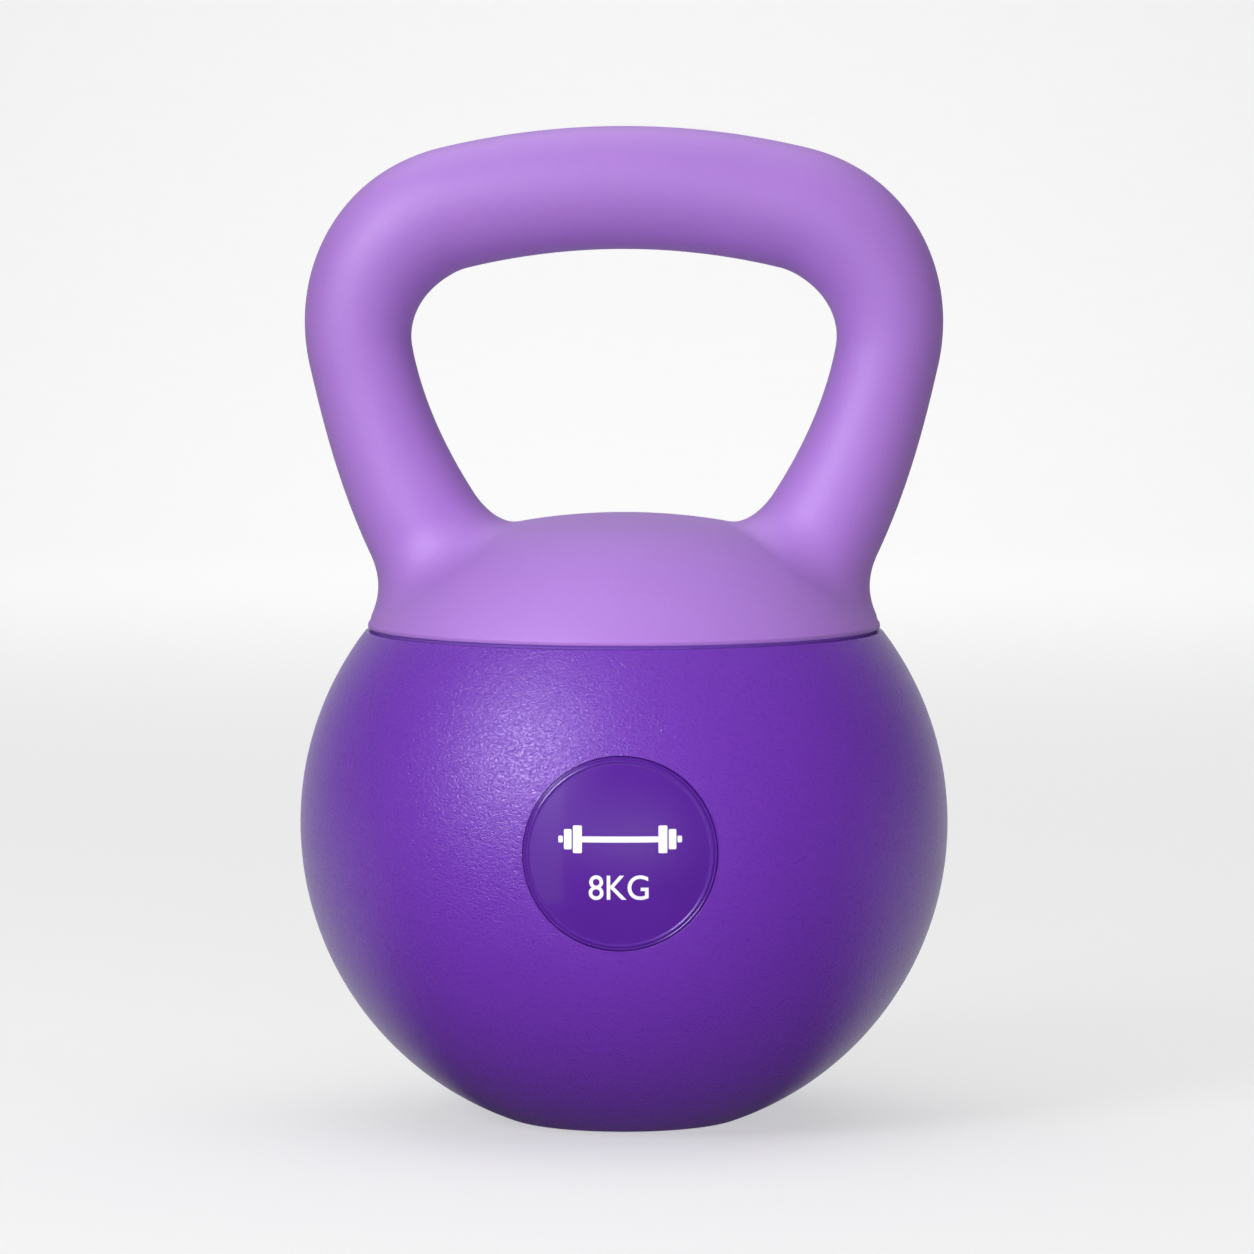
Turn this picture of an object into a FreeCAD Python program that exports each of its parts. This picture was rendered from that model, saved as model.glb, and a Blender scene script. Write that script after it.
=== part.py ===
"""Soft kettlebell: a grained shell filled with iron sand, bolted under a covered tube handle.

Frame: origin on the floor under the middle of the ball, +Z up, the grip runs along X and the
label faces -Y. Millimetres. Every driving size is a cell of the sheet "sizes"; what follows
from them is worked out in the variable set "form", and each piece is bound to the two.
"""
import FreeCAD, Part
import math
import os
import Sketcher

V = FreeCAD.Vector

SIZES = [
    # ball shell
    ("ball_radius", 90.0, "half the width of the ball at its equator"),
    ("side_radius", 87.6, "radius of the curve that the ball's side follows"),
    ("equator_z", 82.9, "height of the widest part of the ball"),
    ("skin_wall", 4.0, "thickness of the ball's skin"),
    ("base_round", 12.0, "round between the flat base and the side"),
    ("mouth_z", 136.4, "height of the ball's mouth, where the cap sits"),
    ("mouth_round", 0.8, "round on the outer edge of the mouth"),
    ("flange_thickness", 4.0, "thickness of the mouth flange"),
    ("flange_web", 6.0, "from the pins' circle to the flange's inner edge"),
    # cap and its gasket
    ("gasket_thickness", 0.9, "thickness of the mouth gasket, seen as the dark seam"),
    ("gasket_inset", 1.6, "how far the gasket stays back from the mouth's edge"),
    ("lip_inset", 0.7, "how far the cap's lip stays inside the mouth's edge"),
    ("lip_height", 1.1, "height of the cap's upright lip"),
    ("lip_round", 0.5, "round on the lip"),
    ("dome_height", 31.6, "height of the cap from its underside to its top"),
    ("dome_crown_radius", 170.0, "radius of the flat middle of the dome"),
    ("dome_crown_angle", 9.3, "half the angle that the flat middle spans, in degrees"),
    ("cover_wall", 5.0, "thickness of the soft cover over the cap frame"),
    # handle line and cover
    ("total_height", 276.1, "height of the top of the grip above the floor"),
    ("handle_half_width", 73.6, "widest point of the handle's centre line"),
    ("crown_radius", 201.0, "bend of the grip, on the centre line"),
    ("corner_radius", 34.8, "bend of the handle's corners, on the centre line"),
    ("leg_lean", 11.4, "inward lean of the legs below the corners, in degrees"),
    ("foot_inset", 31.5, "from the cap's lip to the foot of the centre line"),
    ("grip_radius", 17.0, "radius of the covered grip"),
    ("waist_radius", 14.4, "radius of the covered legs at their thinnest"),
    ("grip_run_on", 10.3, "how far round the corners the grip keeps its radius"),
    ("waist_drop", 4.7, "how far below the corner the thinnest point lies"),
    ("foot_radius", 17.9, "radius of the covered legs where they reach the plate"),
    ("foot_stop", 10.0, "where the covered leg ends inside the cap, above the plate"),
    ("neck_round", 10.0, "round between the legs and the dome"),
    # tube, plate and frame
    ("tube_radius", 11.0, "outer radius of the handle tube"),
    ("tube_wall", 2.0, "wall of the handle tube"),
    ("weld_leg", 3.0, "leg of the weld bead round the tube's feet"),
    ("anchor_thickness", 4.0, "thickness of the anchor plate"),
    ("frame_wall", 3.0, "wall of the cap frame"),
    ("frame_foot", 4.0, "width of the frame's foot round the anchor plate"),
    ("frame_fit", 0.3, "gap between the cap frame and the steel inside it"),
    ("rib_thickness", 2.5, "thickness of the cap frame's ribs"),
    ("hub_wall", 3.0, "wall of the cap frame's hub round the nut"),
    ("nut_headroom", 4.0, "space over the nut for the bolt's tip"),
    # clamp under the mouth flange
    ("clamp_setback", 6.8, "how far the clamp plate stays inside the skin's neck"),
    ("clamp_thickness", 3.0, "thickness of the clamp plate"),
    ("bolt_radius", 6.0, "radius of the clamp bolt"),
    ("bolt_length", 30.0, "length of the clamp bolt under its head"),
    ("bolt_play", 0.5, "play of the bolt in the two plates"),
    ("thread_gap", 0.05, "gap between the plain stand-ins for the threads"),
    ("hex_across", 18.0, "width across the flats of bolt head and nut"),
    ("head_height", 7.5, "height of the bolt's head"),
    ("nut_height", 10.8, "height of the nut"),
    ("washer_radius", 12.0, "radius of the flat washer"),
    ("washer_thickness", 2.5, "thickness of the flat washer"),
    ("spring_washer_radius", 10.3, "radius of the spring washer"),
    ("spring_washer_thickness", 3.0, "thickness of the spring washer"),
    ("spring_washer_slit", 1.5, "width of the slit in the spring washer"),
    ("pin_radius", 2.5, "radius of the locating pins"),
    ("pin_edge", 5.5, "from the anchor plate's edge to the pins' circle"),
    ("pin_play", 0.3, "play of the pins below the anchor plate"),
    ("pin_tip", 2.0, "how far the pins reach below the clamp plate"),
    # filler port in the base
    ("bush_neck_wall", 1.7, "wall of the filler bush round the plug's head"),
    ("bush_flange_width", 5.5, "how far the bush's flange reaches past its neck, inside the skin"),
    ("bush_flange_thickness", 2.5, "thickness of the bush's flange"),
    ("bush_height", 14.0, "height of the bush's top above the floor"),
    ("bush_bore", 14.0, "radius of the filler bore, wide enough for a socket"),
    ("bush_wall", 3.0, "wall of the bush above its flange"),
    ("port_recess", 1.2, "how far the plug and the bush stay above the floor"),
    ("seat_width", 2.6, "width of the seat round the filler bore, under the plug's head"),
    ("plug_head_thickness", 2.2, "thickness of the plug's head"),
    ("plug_fit", 0.2, "gap round the plug"),
    ("plug_shank", 8.0, "length of the plug's threaded shank"),
    ("plug_socket_across", 12.0, "width across the flats of the plug's hex socket"),
    ("plug_socket_depth", 5.0, "depth of the plug's hex socket"),
    ("seal_thickness", 1.2, "thickness of the plug's seal"),
    # filling
    ("sand_headroom", 0.9, "from the sand's level top up to the bolt's head"),
    ("sand_gap", 0.2, "gap that keeps the sand's stand-in clear of the skin"),
    # label
    ("label_z", 82.9, "height of the label's middle"),
    ("label_shift", -1.0, "how far the label sits to one side"),
    ("label_radius", 26.1, "radius of the label"),
    ("label_gap", 0.35, "groove round the label"),
    ("label_recess", 1.6, "depth of the label's recess in the skin"),
    ("label_adhesive", 0.2, "thickness of the adhesive film"),
    ("label_adhesive_inset", 1.5, "how far the film stays inside the label's edge"),
    ("label_thickness", 1.0, "thickness of the label inside its rim"),
    ("label_rim_width", 0.9, "width of the label's rim"),
    ("label_rim_height", 0.3, "height of the rim above the label's face"),
    ("print_thickness", 0.06, "thickness of the printed ink"),
    ("digit_height", 6.7, "height of the printed weight mark"),
    ("digit_stroke", 1.05, "stroke of the printed weight mark"),
    ("digit_pitch", 5.6, "distance from one character to the next"),
    ("digit_drop", 8.7, "from the label's middle down to the mark's middle"),
    ("symbol_rise", 4.2, "from the label's middle up to the barbell sign"),
    ("symbol_width", 33.0, "width of the barbell sign"),
    ("symbol_height", 7.4, "height of the barbell sign's large plates"),
    ("symbol_plate", 2.2, "width of each plate of the barbell sign"),
    ("symbol_bar", 1.2, "height of the barbell sign's bar"),
]

PIN_COUNT = 3
RIB_COUNT = 6
SECTION_COUNT = 19

FORM = [
    # ball
    ("side_offset", "sizes.ball_radius - sizes.side_radius"),
    ("mouth_radius", "form.side_offset + sqrt(sizes.side_radius^2 - (sizes.mouth_z - sizes.equator_z)^2)"),
    ("base_radius", "form.side_offset + sqrt(sizes.side_radius^2 - sizes.equator_z^2)"),
    ("inner_side", "sizes.side_radius - sizes.skin_wall"),
    ("flange_z", "sizes.mouth_z - sizes.flange_thickness"),
    ("inner_neck", "form.side_offset + sqrt(form.inner_side^2 - (form.flange_z - sizes.equator_z)^2)"),
    ("inner_floor", "form.side_offset + sqrt(form.inner_side^2 - (sizes.skin_wall - sizes.equator_z)^2)"),
    # cap
    ("cap_z", "sizes.mouth_z + sizes.gasket_thickness"),
    ("lip_radius", "form.mouth_radius - sizes.lip_inset"),
    ("lip_top", "form.cap_z + sizes.lip_height"),
    ("dome_top", "form.cap_z + sizes.dome_height"),
    ("join_x", "sizes.dome_crown_radius * sin(sizes.dome_crown_angle)"),
    ("join_z", "form.dome_top - sizes.dome_crown_radius * (1 - cos(sizes.dome_crown_angle))"),
    ("edge_x", "form.lip_radius - form.join_x"),
    ("edge_z", "form.lip_top - form.join_z"),
    ("edge_lean", "form.edge_x * sin(sizes.dome_crown_angle) + form.edge_z * cos(sizes.dome_crown_angle)"),
    ("shoulder_radius", "-(form.edge_x^2 + form.edge_z^2) / (2 * form.edge_lean)"),
    ("shoulder_x", "form.join_x - form.shoulder_radius * sin(sizes.dome_crown_angle)"),
    ("shoulder_z", "form.join_z - form.shoulder_radius * cos(sizes.dome_crown_angle)"),
    # handle line: half a crown arc, a corner arc and a leg arc, each tangent to the next
    ("plate_top", "form.cap_z + sizes.anchor_thickness"),
    ("foot_x", "form.lip_radius - sizes.foot_inset"),
    ("apex_z", "sizes.total_height - sizes.grip_radius"),
    ("corner_x", "sizes.handle_half_width - sizes.corner_radius"),
    ("crown_half", "asin(form.corner_x / (sizes.crown_radius - sizes.corner_radius)) / 1 deg"),
    ("crown_z", "form.apex_z - sizes.crown_radius"),
    ("corner_z", "form.crown_z + (sizes.crown_radius - sizes.corner_radius) * cos(form.crown_half)"),
    ("corner_turn", "90 - form.crown_half + sizes.leg_lean"),
    ("leg_top_x", "form.corner_x + sizes.corner_radius * cos(sizes.leg_lean)"),
    ("leg_top_z", "form.corner_z - sizes.corner_radius * sin(sizes.leg_lean)"),
    ("leg_dx", "form.foot_x - form.leg_top_x"),
    ("leg_dz", "form.plate_top - form.leg_top_z"),
    ("leg_side", "form.leg_dx * cos(sizes.leg_lean) - form.leg_dz * sin(sizes.leg_lean)"),
    ("leg_radius", "-(form.leg_dx^2 + form.leg_dz^2) / (2 * form.leg_side)"),
    ("leg_x", "form.leg_top_x - form.leg_radius * cos(sizes.leg_lean)"),
    ("leg_z", "form.leg_top_z + form.leg_radius * sin(sizes.leg_lean)"),
    ("foot_lean", "asin((form.leg_z - form.plate_top) / form.leg_radius) / 1 deg"),
    ("leg_turn", "form.foot_lean - sizes.leg_lean"),
    ("stop_lean", "asin((form.leg_z - form.plate_top - sizes.foot_stop) / form.leg_radius) / 1 deg"),
    ("stop_turn", "form.stop_lean - sizes.leg_lean"),
    ("tail_lean", "form.foot_lean + 2 * sizes.tube_radius / form.leg_radius * 180 / pi"),
    ("tail_x", "form.leg_x + form.leg_radius * cos(form.tail_lean)"),
    ("tail_z", "form.leg_z - form.leg_radius * sin(form.tail_lean)"),
    ("crown_run", "sizes.crown_radius * form.crown_half * pi / 180"),
    ("slim_run", "form.crown_run + sizes.grip_run_on"),
    ("corner_run", "form.crown_run + sizes.corner_radius * form.corner_turn * pi / 180"),
    ("waist_run", "form.corner_run + sizes.waist_drop"),
    ("foot_run", "form.corner_run + form.leg_radius * form.leg_turn * pi / 180"),
    ("stop_run", "form.corner_run + form.leg_radius * form.stop_turn * pi / 180"),
    # plate, pins and flange, each inside the one before
    ("frame_edge", "form.shoulder_x + sqrt((form.shoulder_radius - sizes.cover_wall)^2"
                   " - (form.cap_z - form.shoulder_z)^2)"),
    ("anchor_radius", "form.frame_edge - sizes.frame_foot - sizes.frame_fit"),
    ("pin_circle", "form.anchor_radius - sizes.pin_edge"),
    ("flange_bore", "form.pin_circle - sizes.flange_web"),
    ("clamp_radius", "form.inner_neck - sizes.clamp_setback"),
    # clamp stack, downwards from the flange
    ("clamp_z", "form.flange_z - sizes.clamp_thickness"),
    ("washer_z", "form.clamp_z - sizes.washer_thickness"),
    ("spring_washer_z", "form.washer_z - sizes.spring_washer_thickness"),
    ("head_z", "form.spring_washer_z - sizes.head_height"),
    ("bolt_tip", "form.spring_washer_z + sizes.bolt_length"),
    ("hex_radius", "sizes.hex_across / sqrt(3)"),
    ("nut_top", "form.plate_top + sizes.nut_height"),
    ("hub_bore", "form.hex_radius + sizes.frame_fit"),
    ("pin_bottom", "form.clamp_z - sizes.pin_tip"),
    # filler port, upwards from the floor
    ("plug_head_radius", "sizes.bush_bore + sizes.seat_width"),
    ("bush_neck_radius", "form.plug_head_radius + sizes.plug_fit + sizes.bush_neck_wall"),
    ("bush_flange_radius", "form.bush_neck_radius + sizes.bush_flange_width"),
    ("seal_z", "sizes.port_recess + sizes.plug_head_thickness"),
    ("seat_z", "form.seal_z + sizes.seal_thickness"),
    ("bush_flange_top", "sizes.skin_wall + sizes.bush_flange_thickness"),
    ("bush_top_radius", "sizes.bush_bore + sizes.bush_wall"),
    ("plug_radius", "sizes.bush_bore - sizes.plug_fit"),
    # sand
    ("sand_level", "form.head_z - sizes.sand_headroom"),
    ("sand_side", "form.inner_side - sizes.sand_gap"),
    ("sand_floor_z", "form.bush_flange_top + sizes.sand_gap"),
    ("sand_floor", "form.side_offset + sqrt(form.sand_side^2 - (form.sand_floor_z - sizes.equator_z)^2)"),
    ("sand_top", "form.side_offset + sqrt(form.sand_side^2 - (form.sand_level - sizes.equator_z)^2)"),
    ("sand_bore", "form.bush_top_radius + sizes.sand_gap"),
    ("sand_pit_z", "sizes.bush_height + sizes.sand_gap"),
    # label: spherical layers about a centre just inside the ball's axis
    ("label_curve", "(sizes.ball_radius + sizes.side_radius) / 2"),
    ("label_centre", "form.label_curve - sizes.ball_radius"),
    ("recess_radius", "sizes.label_radius + sizes.label_gap"),
    ("recess_curve", "form.label_curve - sizes.label_recess"),
    ("film_curve", "form.recess_curve + sizes.label_adhesive"),
    ("face_curve", "form.film_curve + sizes.label_thickness"),
    ("rim_curve", "form.face_curve + sizes.label_rim_height"),
    ("ink_curve", "form.face_curve + sizes.print_thickness"),
    ("film_radius", "sizes.label_radius - sizes.label_adhesive_inset"),
    ("face_radius", "sizes.label_radius - sizes.label_rim_width"),
]


# ---------------------------------------------------------------- sheet and bound values

def add_sizes(doc):
    """The sheet of driving sizes: name, value and note, one row each."""
    sheet = doc.addObject("Spreadsheet::Sheet", "sizes")
    for row, (alias, value, note) in enumerate(SIZES, start=1):
        sheet.set(f"A{row}", alias)
        sheet.set(f"B{row}", str(value))
        sheet.set(f"C{row}", note)
        sheet.setAlias(f"B{row}", alias)
    doc.recompute()
    return sheet


def add_form(doc):
    """Values that follow from the sizes, each bound by an expression."""
    form = doc.addObject("App::VarSet", "form")
    for name, expression in FORM:
        form.addProperty("App::PropertyFloat", name)
        form.setExpression(name, expression)
    doc.recompute()
    return form


def number(thing, expression):
    """The present value of an expression, as a plain number."""
    value = thing.evalExpression(expression)
    return float(getattr(value, "Value", value))


# ---------------------------------------------------------------- sketches

def bind(sketch, kind, where, expression):
    """Adds one constraint whose value follows an expression."""
    index = sketch.addConstraint(Sketcher.Constraint(kind, *where, number(sketch, expression)))
    sketch.setExpression(f"Constraints[{index}]", expression)


def add_arc(sketch, start, end, radius, turn):
    """An arc from start to end that turns left or right; returns (geometry, first, last)."""
    size = number(sketch, radius)
    chord = end - start
    left = V(-chord.y, chord.x, 0).normalize()
    reach = math.sqrt(size ** 2 - chord.Length ** 2 / 4)
    centre = (start + end) * 0.5 + left * (reach if turn == "left" else -reach)
    begin, finish = (start, end) if turn == "left" else (end, start)
    angles = [math.atan2(p.y - centre.y, p.x - centre.x) for p in (begin, finish)]
    circle = Part.Circle(centre, V(0, 0, 1), size)
    geometry = sketch.addGeometry(Part.ArcOfCircle(circle, *angles))
    bind(sketch, "Radius", (geometry,), radius)
    return (geometry, 1, 2) if turn == "left" else (geometry, 2, 1)


def outline(sketch, corners, closed=True):
    """Sides from corner to corner. A corner is (x, y), or (x, y, radius, turn) before an arc."""
    points = [V(number(sketch, c[0]), number(sketch, c[1]), 0) for c in corners]
    sides = []
    for index in range(len(corners) if closed else len(corners) - 1):
        start = points[index]
        end = points[(index + 1) % len(corners)]
        if len(corners[index]) == 4:
            sides.append(add_arc(sketch, start, end, *corners[index][2:]))
        else:
            sides.append((sketch.addGeometry(Part.LineSegment(start, end)), 1, 2))
    for index, (geometry, first, last) in enumerate(sides):
        if closed or index + 1 < len(sides):
            following = sides[(index + 1) % len(sides)]
            sketch.addConstraint(Sketcher.Constraint("Coincident", geometry, last, *following[:2]))
        bind(sketch, "DistanceX", (geometry, first), corners[index][0])
        bind(sketch, "DistanceY", (geometry, first), corners[index][1])
    if not closed:
        geometry, first, last = sides[-1]
        bind(sketch, "DistanceX", (geometry, last), corners[-1][0])
        bind(sketch, "DistanceY", (geometry, last), corners[-1][1])


def circle_at(sketch, x, y, radius):
    """A circle whose centre and radius follow expressions."""
    centre = V(number(sketch, x), number(sketch, y), 0)
    geometry = sketch.addGeometry(Part.Circle(centre, V(0, 0, 1), number(sketch, radius)))
    bind(sketch, "Radius", (geometry,), radius)
    bind(sketch, "DistanceX", (geometry, 3), x)
    bind(sketch, "DistanceY", (geometry, 3), y)


def hexagon(sketch, radius):
    """A hexagon round the sketch's origin, by the radius of its corners."""
    outline(sketch, [(f"{radius} * cos({60 * k})", f"{radius} * sin({60 * k})") for k in range(6)])


def new_body(doc, label):
    """An empty body named after its piece."""
    body = doc.addObject("PartDesign::Body", label)
    body.Label = label
    return body


def sketch_on(body, role, name, shift=None):
    """A sketch on one of the body's own origin planes, moved by bound offsets."""
    sketch = body.newObject("Sketcher::SketchObject", name)
    plane = next(f for f in body.Origin.OriginFeatures if f.Role == role)
    sketch.AttachmentSupport = [(plane, "")]
    sketch.MapMode = "FlatFace"
    for axis, expression in (shift or {}).items():
        sketch.setExpression(f"AttachmentOffset.Base.{axis}", expression)
    body.Document.recompute()
    return sketch


# ---------------------------------------------------------------- features

def turned(body, sketch, kind="PartDesign::Revolution"):
    """A full turn of a sketch about its own upright axis, added or cut."""
    feature = body.newObject(kind, "Turned")
    feature.Profile = sketch
    feature.ReferenceAxis = (sketch, ["V_Axis"])
    feature.Angle = 360
    body.Document.recompute()
    return feature


def padded(body, sketch, height):
    """A pad of bound height along the sketch's normal."""
    pad = body.newObject("PartDesign::Pad", "Pad")
    pad.Profile = sketch
    pad.setExpression("Length", height)
    body.Document.recompute()
    return pad


def pocketed(body, sketch, depth=None):
    """A pocket against the sketch's normal, through everything or to a bound depth."""
    before = body.Shape.Volume
    pocket = body.newObject("PartDesign::Pocket", "Pocket")
    pocket.Profile = sketch
    if depth is None:
        pocket.Type = "ThroughAll"
    else:
        pocket.setExpression("Length", depth)
    body.Document.recompute()
    assert body.Shape.Volume < before, f"{body.Label}: pocket cuts nothing"
    return pocket


def polar(body, feature, count):
    """Repeats a feature round the Z axis."""
    pattern = body.newObject("PartDesign::PolarPattern", "Pattern")
    pattern.Originals = [feature]
    axis = next(f for f in body.Origin.OriginFeatures if f.Role == "Z_Axis")
    pattern.Axis = (axis, [""])
    pattern.Angle = 360
    pattern.Occurrences = count
    body.Tip = pattern
    body.Document.recompute()
    return pattern


def edges_near(shape, wanted):
    """Names of the edges that a test of their bounding box accepts."""
    return [f"Edge{n}" for n, edge in enumerate(shape.Edges, start=1) if wanted(edge.BoundBox)]


def is_ring(radius, height):
    """A test for a level circular edge about the Z axis."""
    slack = 0.01

    def wanted(box):
        level = abs(box.ZMin - height) < slack and abs(box.ZMax - height) < slack
        return level and abs(box.XMax - radius) < slack and abs(box.XMin + radius) < slack
    return wanted


def rounded(body, edges, radius):
    """A fillet of bound radius on named edges of the body's last feature."""
    assert edges, f"{body.Label}: no edge to round"
    previous = body.Tip
    fillet = body.newObject("PartDesign::Fillet", "Round")
    fillet.Base = (previous, edges)
    fillet.setExpression("Radius", radius)
    body.Document.recompute()
    return fillet


def ring(doc, label, outer, inner, bottom, height):
    """A flat ring about the Z axis."""
    body = new_body(doc, label)
    sketch = sketch_on(body, "XY_Plane", "RingSketch", {"z": bottom})
    circle_at(sketch, "0", "0", outer)
    circle_at(sketch, "0", "0", inner)
    padded(body, sketch, height)
    return body


def pin_holes(body, top, depth, radius):
    """Holes for the locating pins, cut down from a level."""
    sketch = sketch_on(body, "XY_Plane", "PinSketch", {"z": top})
    circle_at(sketch, "0", "form.pin_circle", radius)
    polar(body, pocketed(body, sketch, depth), PIN_COUNT)


def joined(doc, kind, label, base, tool):
    """A two-shape boolean: Part::Cut, Part::Fuse or Part::Common."""
    result = doc.addObject(kind, label)
    result.Base = base
    result.Tool = tool
    result.Label = label
    return result


# ---------------------------------------------------------------- ball

def ball_skin(doc):
    """Hollow ball: flat base with the filler port, inward flange at the mouth, label recess."""
    body = new_body(doc, "ball_skin")
    profile = sketch_on(body, "XZ_Plane", "SkinProfile")
    outline(profile, [
        ("form.bush_neck_radius", "0"),
        ("form.base_radius", "0", "sizes.side_radius", "left"),
        ("form.mouth_radius", "sizes.mouth_z"),
        ("form.flange_bore", "sizes.mouth_z"),
        ("form.flange_bore", "form.flange_z"),
        ("form.inner_neck", "form.flange_z", "form.inner_side", "right"),
        ("form.inner_floor", "sizes.skin_wall"),
        ("form.bush_neck_radius", "sizes.skin_wall"),
    ])
    skin = turned(body, profile)
    base = edges_near(skin.Shape, is_ring(number(body, "form.base_radius"), 0))
    rounded(body, base, "sizes.base_round")
    mouth = is_ring(number(body, "form.mouth_radius"), number(body, "sizes.mouth_z"))
    rounded(body, edges_near(body.Shape, mouth), "sizes.mouth_round")
    pin_holes(body, "sizes.mouth_z", "sizes.flange_thickness", "sizes.pin_radius + sizes.pin_play")
    recess = label_sketch(body)
    outline(recess, [
        ("0", "-sizes.ball_radius - sizes.skin_wall"),
        ("form.recess_radius", "-sizes.ball_radius - sizes.skin_wall"),
        ("form.recess_radius", layer_edge("form.recess_curve", "form.recess_radius"),
         "form.recess_curve", "right"),
        ("0", layer_top("form.recess_curve")),
    ])
    before = body.Shape.Volume
    turned(body, recess, "PartDesign::Groove")
    assert body.Shape.Volume < before, "the label's recess cuts nothing"
    return body


def iron_sand(doc):
    """The loose filling as one solid, level on top and clear of the filler bush."""
    body = new_body(doc, "iron_sand")
    profile = sketch_on(body, "XZ_Plane", "SandProfile")
    outline(profile, [
        ("form.sand_bore", "form.sand_floor_z"),
        ("form.sand_floor", "form.sand_floor_z", "form.sand_side", "left"),
        ("form.sand_top", "form.sand_level"),
        ("0", "form.sand_level"),
        ("0", "form.sand_pit_z"),
        ("form.sand_bore", "form.sand_pit_z"),
    ])
    turned(body, profile)
    return body


# ---------------------------------------------------------------- filler port

def filler_bush(doc):
    """Rigid bush welded into the base: flange inside, seat for the plug's head outside."""
    body = new_body(doc, "filler_bush")
    profile = sketch_on(body, "XZ_Plane", "BushProfile")
    outline(profile, [
        ("form.plug_head_radius + sizes.plug_fit", "sizes.port_recess"),
        ("form.bush_neck_radius", "sizes.port_recess"),
        ("form.bush_neck_radius", "sizes.skin_wall"),
        ("form.bush_flange_radius", "sizes.skin_wall"),
        ("form.bush_flange_radius", "form.bush_flange_top"),
        ("form.bush_top_radius", "form.bush_flange_top"),
        ("form.bush_top_radius", "sizes.bush_height"),
        ("sizes.bush_bore", "sizes.bush_height"),
        ("sizes.bush_bore", "form.seat_z"),
        ("form.plug_head_radius + sizes.plug_fit", "form.seat_z"),
    ])
    turned(body, profile)
    return body


def filler_plug(doc):
    """Screw plug with a hex socket, its head set back from the floor."""
    body = new_body(doc, "filler_plug")
    profile = sketch_on(body, "XZ_Plane", "PlugProfile")
    outline(profile, [
        ("0", "sizes.port_recess"),
        ("form.plug_head_radius", "sizes.port_recess"),
        ("form.plug_head_radius", "form.seal_z"),
        ("form.plug_radius", "form.seal_z"),
        ("form.plug_radius", "form.seal_z + sizes.plug_shank"),
        ("0", "form.seal_z + sizes.plug_shank"),
    ])
    turned(body, profile)
    socket = sketch_on(body, "XY_Plane", "SocketSketch", {"z": "sizes.port_recess"})
    hexagon(socket, "sizes.plug_socket_across / sqrt(3)")
    before = body.Shape.Volume
    pocket = body.newObject("PartDesign::Pocket", "Socket")
    pocket.Profile = socket
    pocket.Reversed = True
    pocket.setExpression("Length", "sizes.plug_socket_depth")
    doc.recompute()
    assert body.Shape.Volume < before, "the plug's socket cuts nothing"
    return body


def plug_seal(doc):
    """Flat rubber ring under the plug's head."""
    outer = "form.plug_head_radius"
    inner = "sizes.bush_bore"
    return ring(doc, "plug_seal", outer, inner, "form.seal_z", "sizes.seal_thickness")


# ---------------------------------------------------------------- clamp

def mouth_gasket(doc):
    """Thin gasket between the mouth flange and the cap; its edge is the dark seam."""
    outer = "form.mouth_radius - sizes.gasket_inset"
    body = ring(doc, "mouth_gasket", outer, "form.flange_bore", "sizes.mouth_z", "sizes.gasket_thickness")
    pin_holes(body, "form.cap_z", "sizes.gasket_thickness", "sizes.pin_radius + sizes.pin_play")
    return body


def anchor_plate(doc):
    """Steel plate that the tube is welded to, with the bolt's hole and the pins' holes."""
    hole = "sizes.bolt_radius + sizes.bolt_play"
    body = ring(doc, "anchor_plate", "form.anchor_radius", hole, "form.cap_z", "sizes.anchor_thickness")
    pin_holes(body, "form.plate_top", "sizes.anchor_thickness", "sizes.pin_radius")
    return body


def clamp_plate(doc):
    """Steel plate inside the ball that pulls the flange up against the gasket."""
    hole = "sizes.bolt_radius + sizes.bolt_play"
    body = ring(doc, "clamp_plate", "form.clamp_radius", hole, "form.clamp_z", "sizes.clamp_thickness")
    pin_holes(body, "form.flange_z", "sizes.clamp_thickness", "sizes.pin_radius + sizes.pin_play")
    return body


def clamp_washer(doc):
    """Flat washer under the clamp plate."""
    hole = "sizes.bolt_radius + sizes.bolt_play"
    return ring(doc, "clamp_washer", "sizes.washer_radius", hole, "form.washer_z", "sizes.washer_thickness")


def lock_washer(doc):
    """Split spring washer on the bolt's head."""
    body = ring(doc, "lock_washer", "sizes.spring_washer_radius", "sizes.bolt_radius + sizes.bolt_play",
                "form.spring_washer_z", "sizes.spring_washer_thickness")
    slit = sketch_on(body, "XY_Plane", "SlitSketch", {"z": "form.washer_z"})
    outline(slit, [
        ("0", "-sizes.spring_washer_slit / 2"),
        ("sizes.spring_washer_radius + sizes.bolt_play", "-sizes.spring_washer_slit / 2"),
        ("sizes.spring_washer_radius + sizes.bolt_play", "sizes.spring_washer_slit / 2"),
        ("0", "sizes.spring_washer_slit / 2"),
    ])
    pocketed(body, slit)
    return body


def clamp_bolt(doc):
    """Hex bolt, head down, tightened through the filler port."""
    body = new_body(doc, "clamp_bolt")
    head = sketch_on(body, "XY_Plane", "HeadSketch", {"z": "form.head_z"})
    hexagon(head, "form.hex_radius")
    padded(body, head, "sizes.head_height")
    shank = sketch_on(body, "XY_Plane", "ShankSketch", {"z": "form.spring_washer_z"})
    circle_at(shank, "0", "0", "sizes.bolt_radius")
    padded(body, shank, "sizes.bolt_length")
    return body


def anchor_nut(doc):
    """Hex nut welded on the anchor plate."""
    body = new_body(doc, "anchor_nut")
    sketch = sketch_on(body, "XY_Plane", "NutSketch", {"z": "form.plate_top"})
    hexagon(sketch, "form.hex_radius")
    circle_at(sketch, "0", "0", "sizes.bolt_radius + sizes.thread_gap")
    padded(body, sketch, "sizes.nut_height")
    return body


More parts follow.
